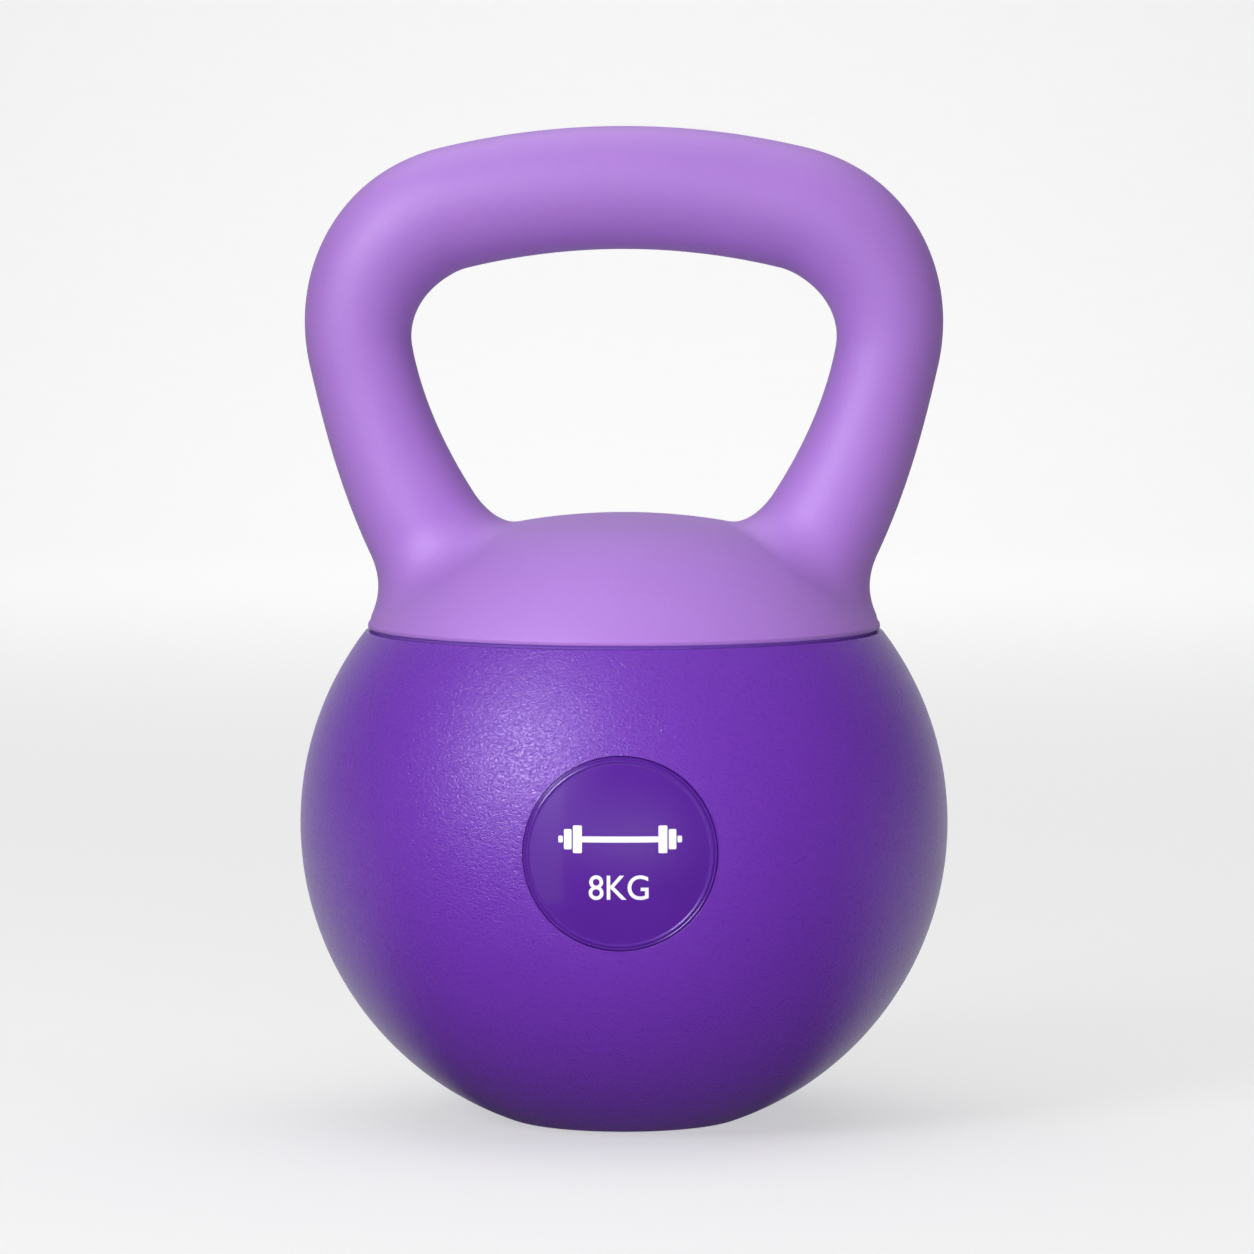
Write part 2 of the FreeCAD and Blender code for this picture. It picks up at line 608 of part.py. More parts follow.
def locating_pins(doc):
    """Three dowels through anchor plate, gasket, flange and clamp plate."""
    pins = []
    for index in range(PIN_COUNT):
        angle = 90 + 360 * index / PIN_COUNT
        pin = doc.addObject("Part::Cylinder", f"Pin{index + 1}")
        pin.setExpression("Radius", "sizes.pin_radius")
        pin.setExpression("Height", "form.plate_top - form.pin_bottom")
        pin.setExpression("Placement.Base.x", f"form.pin_circle * cos({angle})")
        pin.setExpression("Placement.Base.y", f"form.pin_circle * sin({angle})")
        pin.setExpression("Placement.Base.z", "form.pin_bottom")
        pins.append(pin)
    group = doc.addObject("Part::Compound", "locating_pins")
    group.Links = pins
    group.Label = "locating_pins"
    return group


# ---------------------------------------------------------------- cap and handle

def dome_corners(inset, lip_x, lip_z):
    """The dome's curve from lip to top, moved inwards by an inset."""
    return [
        (lip_x, lip_z, f"form.shoulder_radius - {inset}", "left"),
        (f"form.join_x - ({inset}) * sin(sizes.dome_crown_angle)",
         f"form.join_z - ({inset}) * cos(sizes.dome_crown_angle)",
         f"sizes.dome_crown_radius - {inset}", "left"),
        ("0", f"form.dome_top - ({inset})"),
    ]


def shoulder_at(inset, level):
    """Radius of the inset shoulder curve at a level."""
    return f"form.shoulder_x + sqrt((form.shoulder_radius - ({inset}))^2 - ({level} - form.shoulder_z)^2)"


def dome_solid(doc, name, inset, lip_x, lip_z):
    """A solid dome standing on the cap's underside; its seam is at the back, clear of the legs."""
    sketch = doc.addObject("Sketcher::SketchObject", f"{name}Profile")
    sketch.Placement = FreeCAD.Placement(V(0, 0, 0), FreeCAD.Rotation(V(1, 1, 1), 120))
    corners = [("0", "form.cap_z")]
    if lip_z != "form.cap_z":
        corners.append((lip_x, "form.cap_z"))
    outline(sketch, corners + dome_corners(inset, lip_x, lip_z))
    dome = doc.addObject("Part::Revolution", name)
    dome.Source = sketch
    dome.Axis = V(0, 0, 1)
    dome.Base = V(0, 0, 0)
    dome.Angle = 360
    dome.Solid = True
    return dome


def handle_line(doc):
    """The handle's centre line: leg, corner, crown, corner and leg arcs, all tangent."""
    sketch = doc.addObject("Sketcher::SketchObject", "HandleLine")
    sketch.Placement = FreeCAD.Placement(V(0, 0, 0), FreeCAD.Rotation(V(1, 0, 0), 90))
    crown_x = "sizes.crown_radius * sin(form.crown_half)"
    crown_end = "form.crown_z + sizes.crown_radius * cos(form.crown_half)"
    outline(sketch, [
        ("-form.tail_x", "form.tail_z", "form.leg_radius", "right"),
        ("-form.leg_top_x", "form.leg_top_z", "sizes.corner_radius", "right"),
        (f"-{crown_x}", crown_end, "sizes.crown_radius", "right"),
        (crown_x, crown_end, "sizes.corner_radius", "right"),
        ("form.leg_top_x", "form.leg_top_z", "form.leg_radius", "right"),
        ("form.tail_x", "form.tail_z"),
    ], closed=False)
    return sketch


def swept_handle(doc, name, line, radius):
    """A round bar of one radius along the whole centre line."""
    section = doc.addObject("Part::Circle", f"{name}Section")
    section.setExpression("Radius", radius)
    section.Placement = FreeCAD.Placement(V(0, 0, 0), FreeCAD.Rotation(V(0, 1, 0), 1))
    section.setExpression("Placement.Base.x", "-form.tail_x")
    section.setExpression("Placement.Base.z", "form.tail_z")
    section.setExpression("Placement.Rotation.Angle", "360 - form.tail_lean")
    sweep = doc.addObject("Part::Sweep", name)
    sweep.Sections = [section]
    sweep.Spine = (line, [f"Edge{n + 1}" for n in range(5)])
    sweep.Solid = True
    sweep.Frenet = False
    return sweep


def cover_radius(run):
    """Radius of the covered handle at a distance along its line, easing grip to waist to foot."""
    slim = f"max(0; min(1; ({run} - form.slim_run) / (form.waist_run - form.slim_run)))"
    flare = f"max(0; min(1; ({run} - form.waist_run) / (form.foot_run - form.waist_run)))"
    to_waist = f"(sizes.waist_radius - sizes.grip_radius) * ({slim})^2 * (3 - 2 * {slim})"
    to_foot = f"(sizes.foot_radius - sizes.waist_radius) * ({flare})^2 * (3 - 2 * {flare})"
    return f"sizes.grip_radius + {to_waist} + {to_foot}"


def along(run, crown, corner, leg):
    """The value that applies at a distance along half the line: on the crown, the corner or the leg."""
    return f"({run} < form.crown_run ? {crown} : ({run} < form.corner_run ? {corner} : {leg}))"


def cover_section(doc, name, step, side):
    """One round section of the covered handle; side is 1 on the right and -1 on the left."""
    run = f"(form.stop_run * {step} / {SECTION_COUNT})"
    bend = along(run, "sizes.crown_radius", "sizes.corner_radius", "form.leg_radius")
    start = along(run, "0", "form.crown_run", "form.corner_run")
    first = along(run, "90", "(90 - form.crown_half)", "(0 - sizes.leg_lean)")
    angle = f"({first} - ({run} - {start}) / {bend} * 180 / pi)"
    centre_x = along(run, "0", "form.corner_x", "form.leg_x")
    centre_z = along(run, "form.crown_z", "form.corner_z", "form.leg_z")
    section = doc.addObject("Part::Circle", name)
    section.setExpression("Radius", cover_radius(run))
    section.Placement = FreeCAD.Placement(V(0, 0, 0), FreeCAD.Rotation(V(0, 1, 0), 1))
    section.setExpression("Placement.Base.x", f"{side} * ({centre_x} + {bend} * cos({angle}))")
    section.setExpression("Placement.Base.z", f"{centre_z} + {bend} * sin({angle})")
    tilt = f"180 - {angle}" if side > 0 else angle
    section.setExpression("Placement.Rotation.Angle", tilt)
    return section


def covered_handle(doc):
    """The soft handle's outside: a loft through round sections from foot to foot."""
    left = [cover_section(doc, f"LeftSection{n}", n, -1) for n in range(SECTION_COUNT, 0, -1)]
    right = [cover_section(doc, f"RightSection{n}", n, 1) for n in range(SECTION_COUNT + 1)]
    loft = doc.addObject("Part::Loft", "HandleLoft")
    loft.Sections = left + right
    loft.Solid = True
    loft.Ruled = False
    return loft


def handle_cover(doc, tube_space, frame_space):
    """Soft moulding over handle and cap, rounded where the legs meet the dome."""
    dome = dome_solid(doc, "CapDome", "0", "form.lip_radius", "form.lip_top")
    outside = joined(doc, "Part::Fuse", "HandleOutside", dome, covered_handle(doc))
    doc.recompute()
    body = new_body(doc, "HandleShell")
    body.BaseFeature = outside
    doc.recompute()
    low = number(outside, "form.lip_top + sizes.lip_height")
    high = number(outside, "form.dome_top + sizes.lip_height")
    reach = number(outside, "sizes.tube_radius")

    def at_neck(box):
        return box.ZMin > low and box.ZMax < high and box.YLength > reach
    rounded(body, edges_near(body.Shape, at_neck), "sizes.neck_round")
    lip = is_ring(number(outside, "form.lip_radius"), number(outside, "form.lip_top"))
    rounded(body, edges_near(body.Shape, lip), "sizes.lip_round")
    hollow = joined(doc, "Part::Fuse", "CoverHollow", frame_space, tube_space)
    return joined(doc, "Part::Cut", "handle_cover", body, hollow)


def handle_tube(doc, line, outside):
    """Bent steel tube, its feet cut level where they stand on the anchor plate."""
    bore = swept_handle(doc, "TubeBore", line, "sizes.tube_radius - sizes.tube_wall")
    hollow = joined(doc, "Part::Cut", "HollowTube", outside, bore)
    return joined(doc, "Part::Cut", "handle_tube", hollow, below_plate(doc, "TubeTrim"))


def below_plate(doc, name):
    """A block that reaches from the anchor plate's top downwards."""
    block = doc.addObject("Part::Box", name)
    block.setExpression("Length", "4 * sizes.ball_radius")
    block.setExpression("Width", "4 * sizes.ball_radius")
    block.setExpression("Height", "form.plate_top")
    block.setExpression("Placement.Base.x", "-2 * sizes.ball_radius")
    block.setExpression("Placement.Base.y", "-2 * sizes.ball_radius")
    return block


def tube_welds(doc, line, outside):
    """Weld beads round the tube's two feet."""
    collar = swept_handle(doc, "WeldCollar", line, "sizes.tube_radius + sizes.weld_leg")
    layer = doc.addObject("Part::Cylinder", "WeldLayer")
    layer.setExpression("Radius", "form.anchor_radius")
    layer.setExpression("Height", "sizes.weld_leg")
    layer.setExpression("Placement.Base.z", "form.plate_top")
    solid = joined(doc, "Part::Common", "WeldSolid", collar, layer)
    return joined(doc, "Part::Cut", "tube_welds", solid, outside)


def cap_frame(doc, line):
    """Ribbed plastic core of the cap, round the anchor plate, the nut and the tube's feet."""
    body = new_body(doc, "FrameBody")
    inset = "sizes.cover_wall"
    inner = "(sizes.cover_wall + sizes.frame_wall)"
    middle = "(sizes.cover_wall + sizes.frame_wall / 2)"
    plate_edge = "form.anchor_radius + sizes.frame_fit"
    shell = sketch_on(body, "XZ_Plane", "FrameProfile")
    outside = dome_corners(inset, shoulder_at(inset, "form.cap_z"), "form.cap_z")
    inside = [
        ("0", f"form.dome_top - {inner}", f"sizes.dome_crown_radius - {inner}", "right"),
        (f"form.join_x - {inner} * sin(sizes.dome_crown_angle)",
         f"form.join_z - {inner} * cos(sizes.dome_crown_angle)",
         f"form.shoulder_radius - {inner}", "right"),
        (shoulder_at(inner, "form.plate_top"), "form.plate_top"),
        (plate_edge, "form.plate_top"),
        (plate_edge, "form.cap_z"),
    ]
    outline(shell, outside + inside)
    turned(body, shell)
    hub = sketch_on(body, "XY_Plane", "HubSketch", {"z": "form.plate_top"})
    circle_at(hub, "0", "0", "form.hub_bore + sizes.hub_wall")
    padded(body, hub, f"form.dome_top - {middle} - form.plate_top")
    rib = sketch_on(body, "YZ_Plane", "RibSketch")
    hub_middle = "form.hub_bore + sizes.hub_wall / 2"
    shoulder, join, _ = dome_corners(middle, shoulder_at(middle, "form.plate_top"), "form.plate_top")
    outline(rib, [(hub_middle, "form.plate_top"), shoulder, join[:2], (hub_middle, join[1])])
    pad = body.newObject("PartDesign::Pad", "Rib")
    pad.Profile = rib
    pad.Midplane = True
    pad.setExpression("Length", "sizes.rib_thickness")
    doc.recompute()
    polar(body, pad, RIB_COUNT)
    nut_space = sketch_on(body, "XY_Plane", "NutSpaceSketch", {"z": "form.nut_top + sizes.nut_headroom"})
    circle_at(nut_space, "0", "0", "form.hub_bore")
    pocketed(body, nut_space)
    around = swept_handle(doc, "TubePassage", line, "sizes.tube_radius + sizes.frame_fit")
    beads = doc.addObject("Part::Cylinder", "BeadSpace")
    beads.setExpression("Radius", "form.anchor_radius")
    beads.setExpression("Height", "sizes.weld_leg + sizes.frame_fit")
    beads.setExpression("Placement.Base.z", "form.plate_top")
    wide = swept_handle(doc, "BeadPassage", line, "sizes.tube_radius + sizes.weld_leg + sizes.frame_fit")
    feet = joined(doc, "Part::Common", "BeadRoom", wide, beads)
    room = joined(doc, "Part::Fuse", "FrameRoom", around, feet)
    return joined(doc, "Part::Cut", "cap_frame", body, room)


# ---------------------------------------------------------------- label

def label_sketch(body):
    """A sketch through the label's axis: x is the distance from it, y runs along it."""
    return sketch_on(body, "XY_Plane", "LabelProfile", {"x": "sizes.label_shift", "z": "sizes.label_z"})


def layer_top(curve):
    """Where a spherical layer crosses the label's axis."""
    return f"form.label_centre - {curve}"


def layer_edge(curve, radius):
    """How far out a spherical layer lies at a distance from the label's axis."""
    return f"form.label_centre - sqrt({curve}^2 - ({radius})^2)"


def label_layer(doc, label, radius, inner, outer):
    """A round piece between two spherical layers."""
    body = new_body(doc, label)
    sketch = label_sketch(body)
    outline(sketch, [
        ("0", layer_top(outer), outer, "left"),
        (radius, layer_edge(outer, radius)),
        (radius, layer_edge(inner, radius), inner, "right"),
        ("0", layer_top(inner)),
    ])
    turned(body, sketch)
    return body


def label_adhesive(doc):
    """Film that holds the label in its recess."""
    return label_layer(doc, "label_adhesive", "form.film_radius", "form.recess_curve", "form.film_curve")


def label_disc(doc):
    """Glossy badge with a raised rim, curved like the ball."""
    body = label_layer(doc, "label_disc", "sizes.label_radius", "form.film_curve", "form.rim_curve")
    sketch = label_sketch(body)
    outline(sketch, [
        ("0", "-sizes.ball_radius - sizes.skin_wall"),
        ("form.face_radius", "-sizes.ball_radius - sizes.skin_wall"),
        ("form.face_radius", layer_edge("form.face_curve", "form.face_radius"), "form.face_curve", "right"),
        ("0", layer_top("form.face_curve")),
    ])
    turned(body, sketch, "PartDesign::Groove")
    return body


def stroke(start, end, width, reach):
    """A straight stroke of a printed sign, as a deep bar along Y."""
    along = V(end[0] - start[0], 0, end[1] - start[1])
    across = V(-along.z, 0, along.x).normalize() * (width / 2)
    low = V(start[0], 0, start[1])
    high = V(end[0], 0, end[1])
    corners = [low - across, high - across, high + across, low + across, low - across]
    return Part.Face(Part.makePolygon(corners)).extrude(V(0, -reach, 0))


def hoop(middle, radius, width, reach):
    """A round stroke of a printed sign, as a deep ring along Y."""
    centre = V(middle[0], 0, middle[1])
    outer = Part.makeCylinder(radius + width / 2, reach, centre, V(0, -1, 0))
    return outer.cut(Part.makeCylinder(radius - width / 2, reach, centre, V(0, -1, 0)))


def weight_mark(height, width, pitch, reach):
    """The characters 8, K and G about the origin, drawn with one stroke width."""
    half = height / 2
    upper = (height - width) * 0.23
    lower = (height - width) / 2 - upper
    eight = hoop((0, half - width / 2 - upper), upper, width, reach).fuse(
        hoop((0, lower + width / 2 - half), lower, width, reach))
    eight.translate(V(-pitch, 0, 0))
    stem = -pitch * 0.25
    arm = pitch * 0.3
    kay = stroke((stem, -half), (stem, half), width, reach).multiFuse([
        stroke((stem, -width / 2), (arm, half - width / 3), width, reach),
        stroke((stem + width / 2, width / 2), (arm, -half + width / 3), width, reach)])
    bowl = half - width / 2
    gee = hoop((0, 0), bowl, width, reach)
    opening = stroke((0, width), (height, width), width * 2, reach)
    gee = gee.cut(opening).fuse(stroke((width / 2, -width / 2), (bowl + width / 2, -width / 2), width, reach))
    gee.translate(V(pitch * 1.15, 0, 0))
    return [eight, kay, gee]


def barbell_sign(width, height, plate, bar, reach):
    """A barbell seen from the side: a bar, two large plates and two small ones."""
    half = width / 2
    parts = [stroke((-half, 0), (half, 0), bar, reach)]
    for side in (-1, 1):
        for out, share in ((half - plate, 0.6), (half - plate * 2.6, 1.0)):
            x = side * out
            parts.append(stroke((x, -height * share / 2), (x, height * share / 2), plate, reach))
    return parts[0].multiFuse(parts[1:])


def label_print(doc, sheet, form):
    """White ink on the badge: a barbell sign over a plain weight mark."""
    reach = sheet.ball_radius + sheet.skin_wall
    marks = weight_mark(sheet.digit_height, sheet.digit_stroke, sheet.digit_pitch, reach)
    for mark in marks:
        mark.translate(V(sheet.label_shift, 0, sheet.label_z - sheet.digit_drop))
    sign = barbell_sign(sheet.symbol_width, sheet.symbol_height, sheet.symbol_plate, sheet.symbol_bar, reach)
    sign.translate(V(sheet.label_shift, 0, sheet.label_z + sheet.symbol_rise))
    centre = V(sheet.label_shift, form.label_centre, sheet.label_z)
    ink = Part.makeSphere(form.ink_curve, centre).cut(Part.makeSphere(form.face_curve, centre))
    piece = doc.addObject("Part::Feature", "label_print")
    piece.Shape = Part.Compound([mark.common(ink) for mark in marks + [sign]])
    piece.Placement = FreeCAD.Placement()
    piece.Label = "label_print"
    return piece


# ---------------------------------------------------------------- build

def build(doc):
    """Makes every piece and returns them in the order of assembly."""
    sheet = add_sizes(doc)
    form = add_form(doc)
    line = handle_line(doc)
    tube_space = swept_handle(doc, "TubeSpace", line, "sizes.tube_radius")
    frame_space = dome_solid(doc, "FrameSpace", "sizes.cover_wall",
                             shoulder_at("sizes.cover_wall", "form.cap_z"), "form.cap_z")
    doc.recompute()
    return [
        handle_cover(doc, tube_space, frame_space),
        cap_frame(doc, line),
        handle_tube(doc, line, tube_space),
        tube_welds(doc, line, tube_space),
        anchor_plate(doc),
        anchor_nut(doc),
        locating_pins(doc),
        mouth_gasket(doc),
        ball_skin(doc),
        clamp_plate(doc),
        clamp_washer(doc),
        lock_washer(doc),
        clamp_bolt(doc),
        iron_sand(doc),
        filler_bush(doc),
        plug_seal(doc),
        filler_plug(doc),
        label_adhesive(doc),
        label_disc(doc),
        label_print(doc, sheet, form),
    ]


def check(doc, pieces):
    """Stops the build if any object failed or any piece is not sound."""
    for thing in doc.Objects:
        bad = [state for state in thing.State if state in ("Invalid", "Error")]
        assert not bad, f"{thing.Label} is {bad}"
    for piece in pieces:
        shape = piece.Shape
        assert not shape.isNull() and shape.isValid(), f"{piece.Label} is not sound"
        assert shape.Solids, f"{piece.Label} has no solid"


def main():
    """Builds the kettlebell and writes one STEP file for each piece."""
    doc = FreeCAD.newDocument("kettlebell")
    pieces = build(doc)
    doc.recompute()
    check(doc, pieces)
    os.makedirs("parts", exist_ok=True)
    for piece in pieces:
        piece.Shape.exportStep(f"parts/{piece.Label}.step")
        box = piece.Shape.BoundBox
        print(f"{piece.Label}: {len(piece.Shape.Solids)} solid(s), {piece.Shape.Volume / 1000:.1f} cm3, "
              f"z {box.ZMin:.1f} to {box.ZMax:.1f}")


main()
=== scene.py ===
import math

import bmesh
import bpy
import numpy as np
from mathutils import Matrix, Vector


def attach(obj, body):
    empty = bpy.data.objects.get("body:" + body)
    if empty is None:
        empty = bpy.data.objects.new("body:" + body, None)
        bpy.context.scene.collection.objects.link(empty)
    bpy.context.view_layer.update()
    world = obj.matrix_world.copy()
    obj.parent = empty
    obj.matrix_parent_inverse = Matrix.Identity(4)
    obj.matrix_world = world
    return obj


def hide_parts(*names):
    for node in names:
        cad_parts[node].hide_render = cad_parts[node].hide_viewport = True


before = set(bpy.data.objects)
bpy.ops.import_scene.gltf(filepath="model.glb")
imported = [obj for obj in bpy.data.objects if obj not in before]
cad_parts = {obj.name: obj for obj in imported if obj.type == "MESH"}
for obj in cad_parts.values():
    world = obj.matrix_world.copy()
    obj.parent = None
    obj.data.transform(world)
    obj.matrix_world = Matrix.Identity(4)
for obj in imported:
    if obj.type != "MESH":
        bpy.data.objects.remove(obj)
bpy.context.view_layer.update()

MM = 0.001

# ---------------------------------------------------------------- sizes, mm, as in the CAD source
BALL_RADIUS = 90.0
SIDE_RADIUS = 87.6
SIDE_OFFSET = BALL_RADIUS - SIDE_RADIUS
EQUATOR_Z = 82.9
SKIN_WALL = 4.0
BASE_ROUND = 12.0
MOUTH_Z = 136.4
MOUTH_ROUND = 0.8
FLANGE_THICKNESS = 4.0
MOUTH_RADIUS = SIDE_OFFSET + math.sqrt(SIDE_RADIUS**2 - (MOUTH_Z - EQUATOR_Z)**2)
FLANGE_BORE = 50.3
PIN_COUNT = 3
PIN_CIRCLE = FLANGE_BORE + 6.0
PIN_HOLE = 2.8
PAST = 1.0

CAP_Z = MOUTH_Z + 0.9
LIP_RADIUS = MOUTH_RADIUS - 0.7
LIP_TOP = CAP_Z + 1.1
LIP_ROUND = 0.5
LIP_EDGE = 0.15
DOME_TOP = CAP_Z + 31.6
CROWN_CURVE = 170.0
CROWN_ANGLE = math.radians(9.3)
COVER_WALL = 5.0

TOTAL_HEIGHT = 276.1
GRIP_RADIUS = 17.0
WAIST_RADIUS = 14.4
FOOT_RADIUS = 17.9
BEND_CROWN = 201.0
BEND_CORNER = 34.8
HALF_WIDTH = 73.6
LEG_LEAN = math.radians(11.4)
FOOT_X = LIP_RADIUS - 31.5
PLATE_TOP = CAP_Z + 4.0
FOOT_STOP = 10.0
GRIP_RUN_ON = 10.3
TUBE_RADIUS = 11.0
TUBE_ROOM = 0.05
WAIST_DROP = 4.7

PORT_RADIUS = 18.5
PORT_EDGE = 0.25

LABEL_X = -1.0
LABEL_Z = 82.9
LABEL_RADIUS = 26.1
LABEL_GAP = 0.12
LABEL_RECESS = 1.6
POCKET_ROUND = 0.35
LABEL_CURVE = (BALL_RADIUS + SIDE_RADIUS) / 2
LABEL_CENTRE = LABEL_CURVE - BALL_RADIUS
RECESS_CURVE = LABEL_CURVE - LABEL_RECESS
FILM_CURVE = RECESS_CURVE + 0.2
FACE_CURVE = FILM_CURVE + 1.0
FACE_RADIUS = 24.35
INK_THICKNESS = 0.06
INK_ROOT = 0.1
INK_MESH = 1.2
DIGITS_WIDTH = 16.0
DIGITS_HEIGHT = 6.7
DIGITS_LEFT = -8.4
DIGITS_BOTTOM = -12.1
SIGN_RISE = 4.2
SIGN_BAR = 0.8
SIGN_PLATES = ((10.2, 12.6, 3.7), (12.95, 15.0, 2.7), (15.3, 16.5, 0.9))

# the blend where the legs grow out of the dome: wide outside, tighter inside the window
BLEND_OUTSIDE = 12.0
BLEND_INSIDE = 6.5
BLEND_FRONT = 12.5
NEAR_SURFACE = 0.03
LIP_KEPT = 1.2
LIP_SHADED = 1.3
EVEN_PULL = 0.6
BLEND_REACH = 22.0

# studio, m and W
STUDIO_MIDDLE = (0, 0, 0.13)
PAPER_REACH = 4.0
PAPER_GLOW = 0.51
AIR_ON_OBJECT = 0.1
AIR_BEHIND = 0.88
CAMERA_AWAY = 2.1
CAMERA_HEIGHT = 0.2956
CAMERA_ACROSS = 0.83 * MM
CAMERA_TIP = 0.0753
CAMERA_LENS = 217.6


# ---------------------------------------------------------------- meshes
def mesh_object(name, points, faces, smooth=True):
    """A mesh object at the origin from points in mm and a whole array of faces."""
    mesh = bpy.data.meshes.new(name)
    mesh.from_pydata((np.asarray(points) * MM).tolist(), [], [list(f) for f in faces])
    mesh.update()
    mesh.polygons.foreach_set("use_smooth", np.full(len(mesh.polygons), smooth))
    thing = bpy.data.objects.new(name, mesh)
    bpy.context.scene.collection.objects.link(thing)
    return thing


def grid_faces(rows, columns, wrap_rows=False):
    """Quads of a grid whose columns wrap round; its rows wrap too if asked."""
    row = np.arange(rows if wrap_rows else rows - 1)[:, None]
    column = np.arange(columns)[None, :]
    after = (row + 1) % rows
    beside = (column + 1) % columns
    corners = [row * columns + column, row * columns + beside,
               after * columns + beside, after * columns + column]
    return np.stack([np.broadcast_to(c, (len(row), columns)) for c in corners], -1).reshape(-1, 4)


def revolve(name, profile, steps=256, closed=True):
    """A profile (distance from the axis, height) carried round Z: each point is (r cos a, r sin a, z)."""
    profile = np.asarray(profile, float)
    turn = np.linspace(0, 2 * math.pi, steps, endpoint=False)[None, :]
    r, z = profile[:, :1], profile[:, 1:]
    points = np.stack([r * np.cos(turn), r * np.sin(turn), np.broadcast_to(z, (len(r), steps))], -1)
    thing = mesh_object(name, points.reshape(-1, 3), grid_faces(len(profile), steps, closed))
    tidy_mesh(thing)
    return thing


def tidy_mesh(thing, gap=1e-7):
    """Merges doubled points, as at a pole, and turns the faces of the shell outwards."""
    work = bmesh.new()
    work.from_mesh(thing.data)
    bmesh.ops.remove_doubles(work, verts=work.verts, dist=gap)
    bmesh.ops.dissolve_degenerate(work, edges=work.edges, dist=gap)
    bmesh.ops.recalc_face_normals(work, faces=work.faces)
    work.to_mesh(thing.data)
    work.free()


def vertices(thing):
    """The mesh's points in mm."""
    flat = np.empty(len(thing.data.vertices) * 3)
    thing.data.vertices.foreach_get("co", flat)
    return flat.reshape(-1, 3) / MM


def set_vertices(thing, points):
    thing.data.vertices.foreach_set("co", (points * MM).ravel())
    thing.data.update()


def arc(centre, radius, start, end, steps):
    """Points on a circle between two angles in radians: centre + radius (cos a, sin a)."""
    angle = np.linspace(start, end, steps)[:, None]
    return np.asarray(centre) + radius * np.hstack([np.cos(angle), np.sin(angle)])


def line(start, end, steps):
    return np.linspace(start, end, steps)


def corner_round(before, corner, after, radius, steps=6):
    """The arc that rounds a corner between two straight runs, tangent to both."""
    before, corner, after = (np.asarray(p, float) for p in (before, corner, after))
    into = (before - corner) / np.linalg.norm(before - corner)
    out = (after - corner) / np.linalg.norm(after - corner)
    half = math.acos(np.clip(into @ out, -1, 1)) / 2
    middle = (into + out) / np.linalg.norm(into + out)
    centre = corner + middle * radius / math.sin(half)
    start = corner + into * radius / math.tan(half) - centre
    end = corner + out * radius / math.tan(half) - centre
    a = math.atan2(start[1], start[0])
    b = math.atan2(end[1], end[0])
    b += 2 * math.pi * round((a - b) / (2 * math.pi))
    return arc(centre, radius, a, b, steps)


def cut(thing, tool):
    """Takes the tool's solid out of the thing, and removes the tool."""
    step = thing.modifiers.new("cut", "BOOLEAN")
    step.operation = "DIFFERENCE"
    step.solver = "EXACT"
    step.object = tool
    settle(thing)
    bpy.data.objects.remove(tool)


def join(thing, other):
    """Makes one closed shell of two that pass through each other, and removes the other."""
    step = thing.modifiers.new("join", "BOOLEAN")
    step.operation = "UNION"
    step.solver = "EXACT"
    step.object = other
    settle(thing)
    bpy.data.objects.remove(other)


def settle(thing):
    """Applies every modifier, leaving plain mesh."""
    bpy.context.view_layer.update()
    final = bpy.data.meshes.new_from_object(thing.evaluated_get(bpy.context.evaluated_depsgraph_get()))
    thing.modifiers.clear()
    thing.data = final


def smooth_with_edges(thing, angle=32.0):
    thing.data.polygons.foreach_set("use_smooth", np.full(len(thing.data.polygons), True))
    thing.data.set_sharp_from_angle(angle=math.radians(angle))


# ---------------------------------------------------------------- the soft handle
def dome_arcs():
    """The dome's arcs in (distance from axis, height): crown's centre, shoulder's centre and radius."""
    join_x = CROWN_CURVE * math.sin(CROWN_ANGLE)
    join_z = DOME_TOP - CROWN_CURVE * (1 - math.cos(CROWN_ANGLE))
    dx, dz = LIP_RADIUS - join_x, LIP_TOP - join_z
    radius = -(dx * dx + dz * dz) / (2 * (dx * math.sin(CROWN_ANGLE) + dz * math.cos(CROWN_ANGLE)))
    centre = (join_x - radius * math.sin(CROWN_ANGLE), join_z - radius * math.cos(CROWN_ANGLE))
    return (0.0, DOME_TOP - CROWN_CURVE), centre, radius


def handle_arcs():
    """Crown, corner and leg arcs of the right half of the handle's line.

    Each is (centre x, centre z, radius, start angle, turn, distance along the line at its start).
    """
    crown_z = TOTAL_HEIGHT - GRIP_RADIUS - BEND_CROWN
    corner_x = HALF_WIDTH - BEND_CORNER
    half = math.asin(corner_x / (BEND_CROWN - BEND_CORNER))
    corner_z = crown_z + (BEND_CROWN - BEND_CORNER) * math.cos(half)
    turn = math.pi / 2 - half + LEG_LEAN
    top_x = corner_x + BEND_CORNER * math.cos(LEG_LEAN)
    top_z = corner_z - BEND_CORNER * math.sin(LEG_LEAN)
    dx, dz = FOOT_X - top_x, PLATE_TOP - top_z
    radius = -(dx * dx + dz * dz) / (2 * (dx * math.cos(LEG_LEAN) - dz * math.sin(LEG_LEAN)))
    leg_x = top_x - radius * math.cos(LEG_LEAN)
    leg_z = top_z + radius * math.sin(LEG_LEAN)
    lean = math.asin((leg_z - PLATE_TOP) / radius)
    crown_run = BEND_CROWN * half
    corner_run = crown_run + BEND_CORNER * turn
    return [
        (0.0, crown_z, BEND_CROWN, math.pi / 2, half, 0.0),
        (corner_x, corner_z, BEND_CORNER, math.pi / 2 - half, turn, crown_run),
        (leg_x, leg_z, radius, -LEG_LEAN, lean - LEG_LEAN, corner_run),
    ]


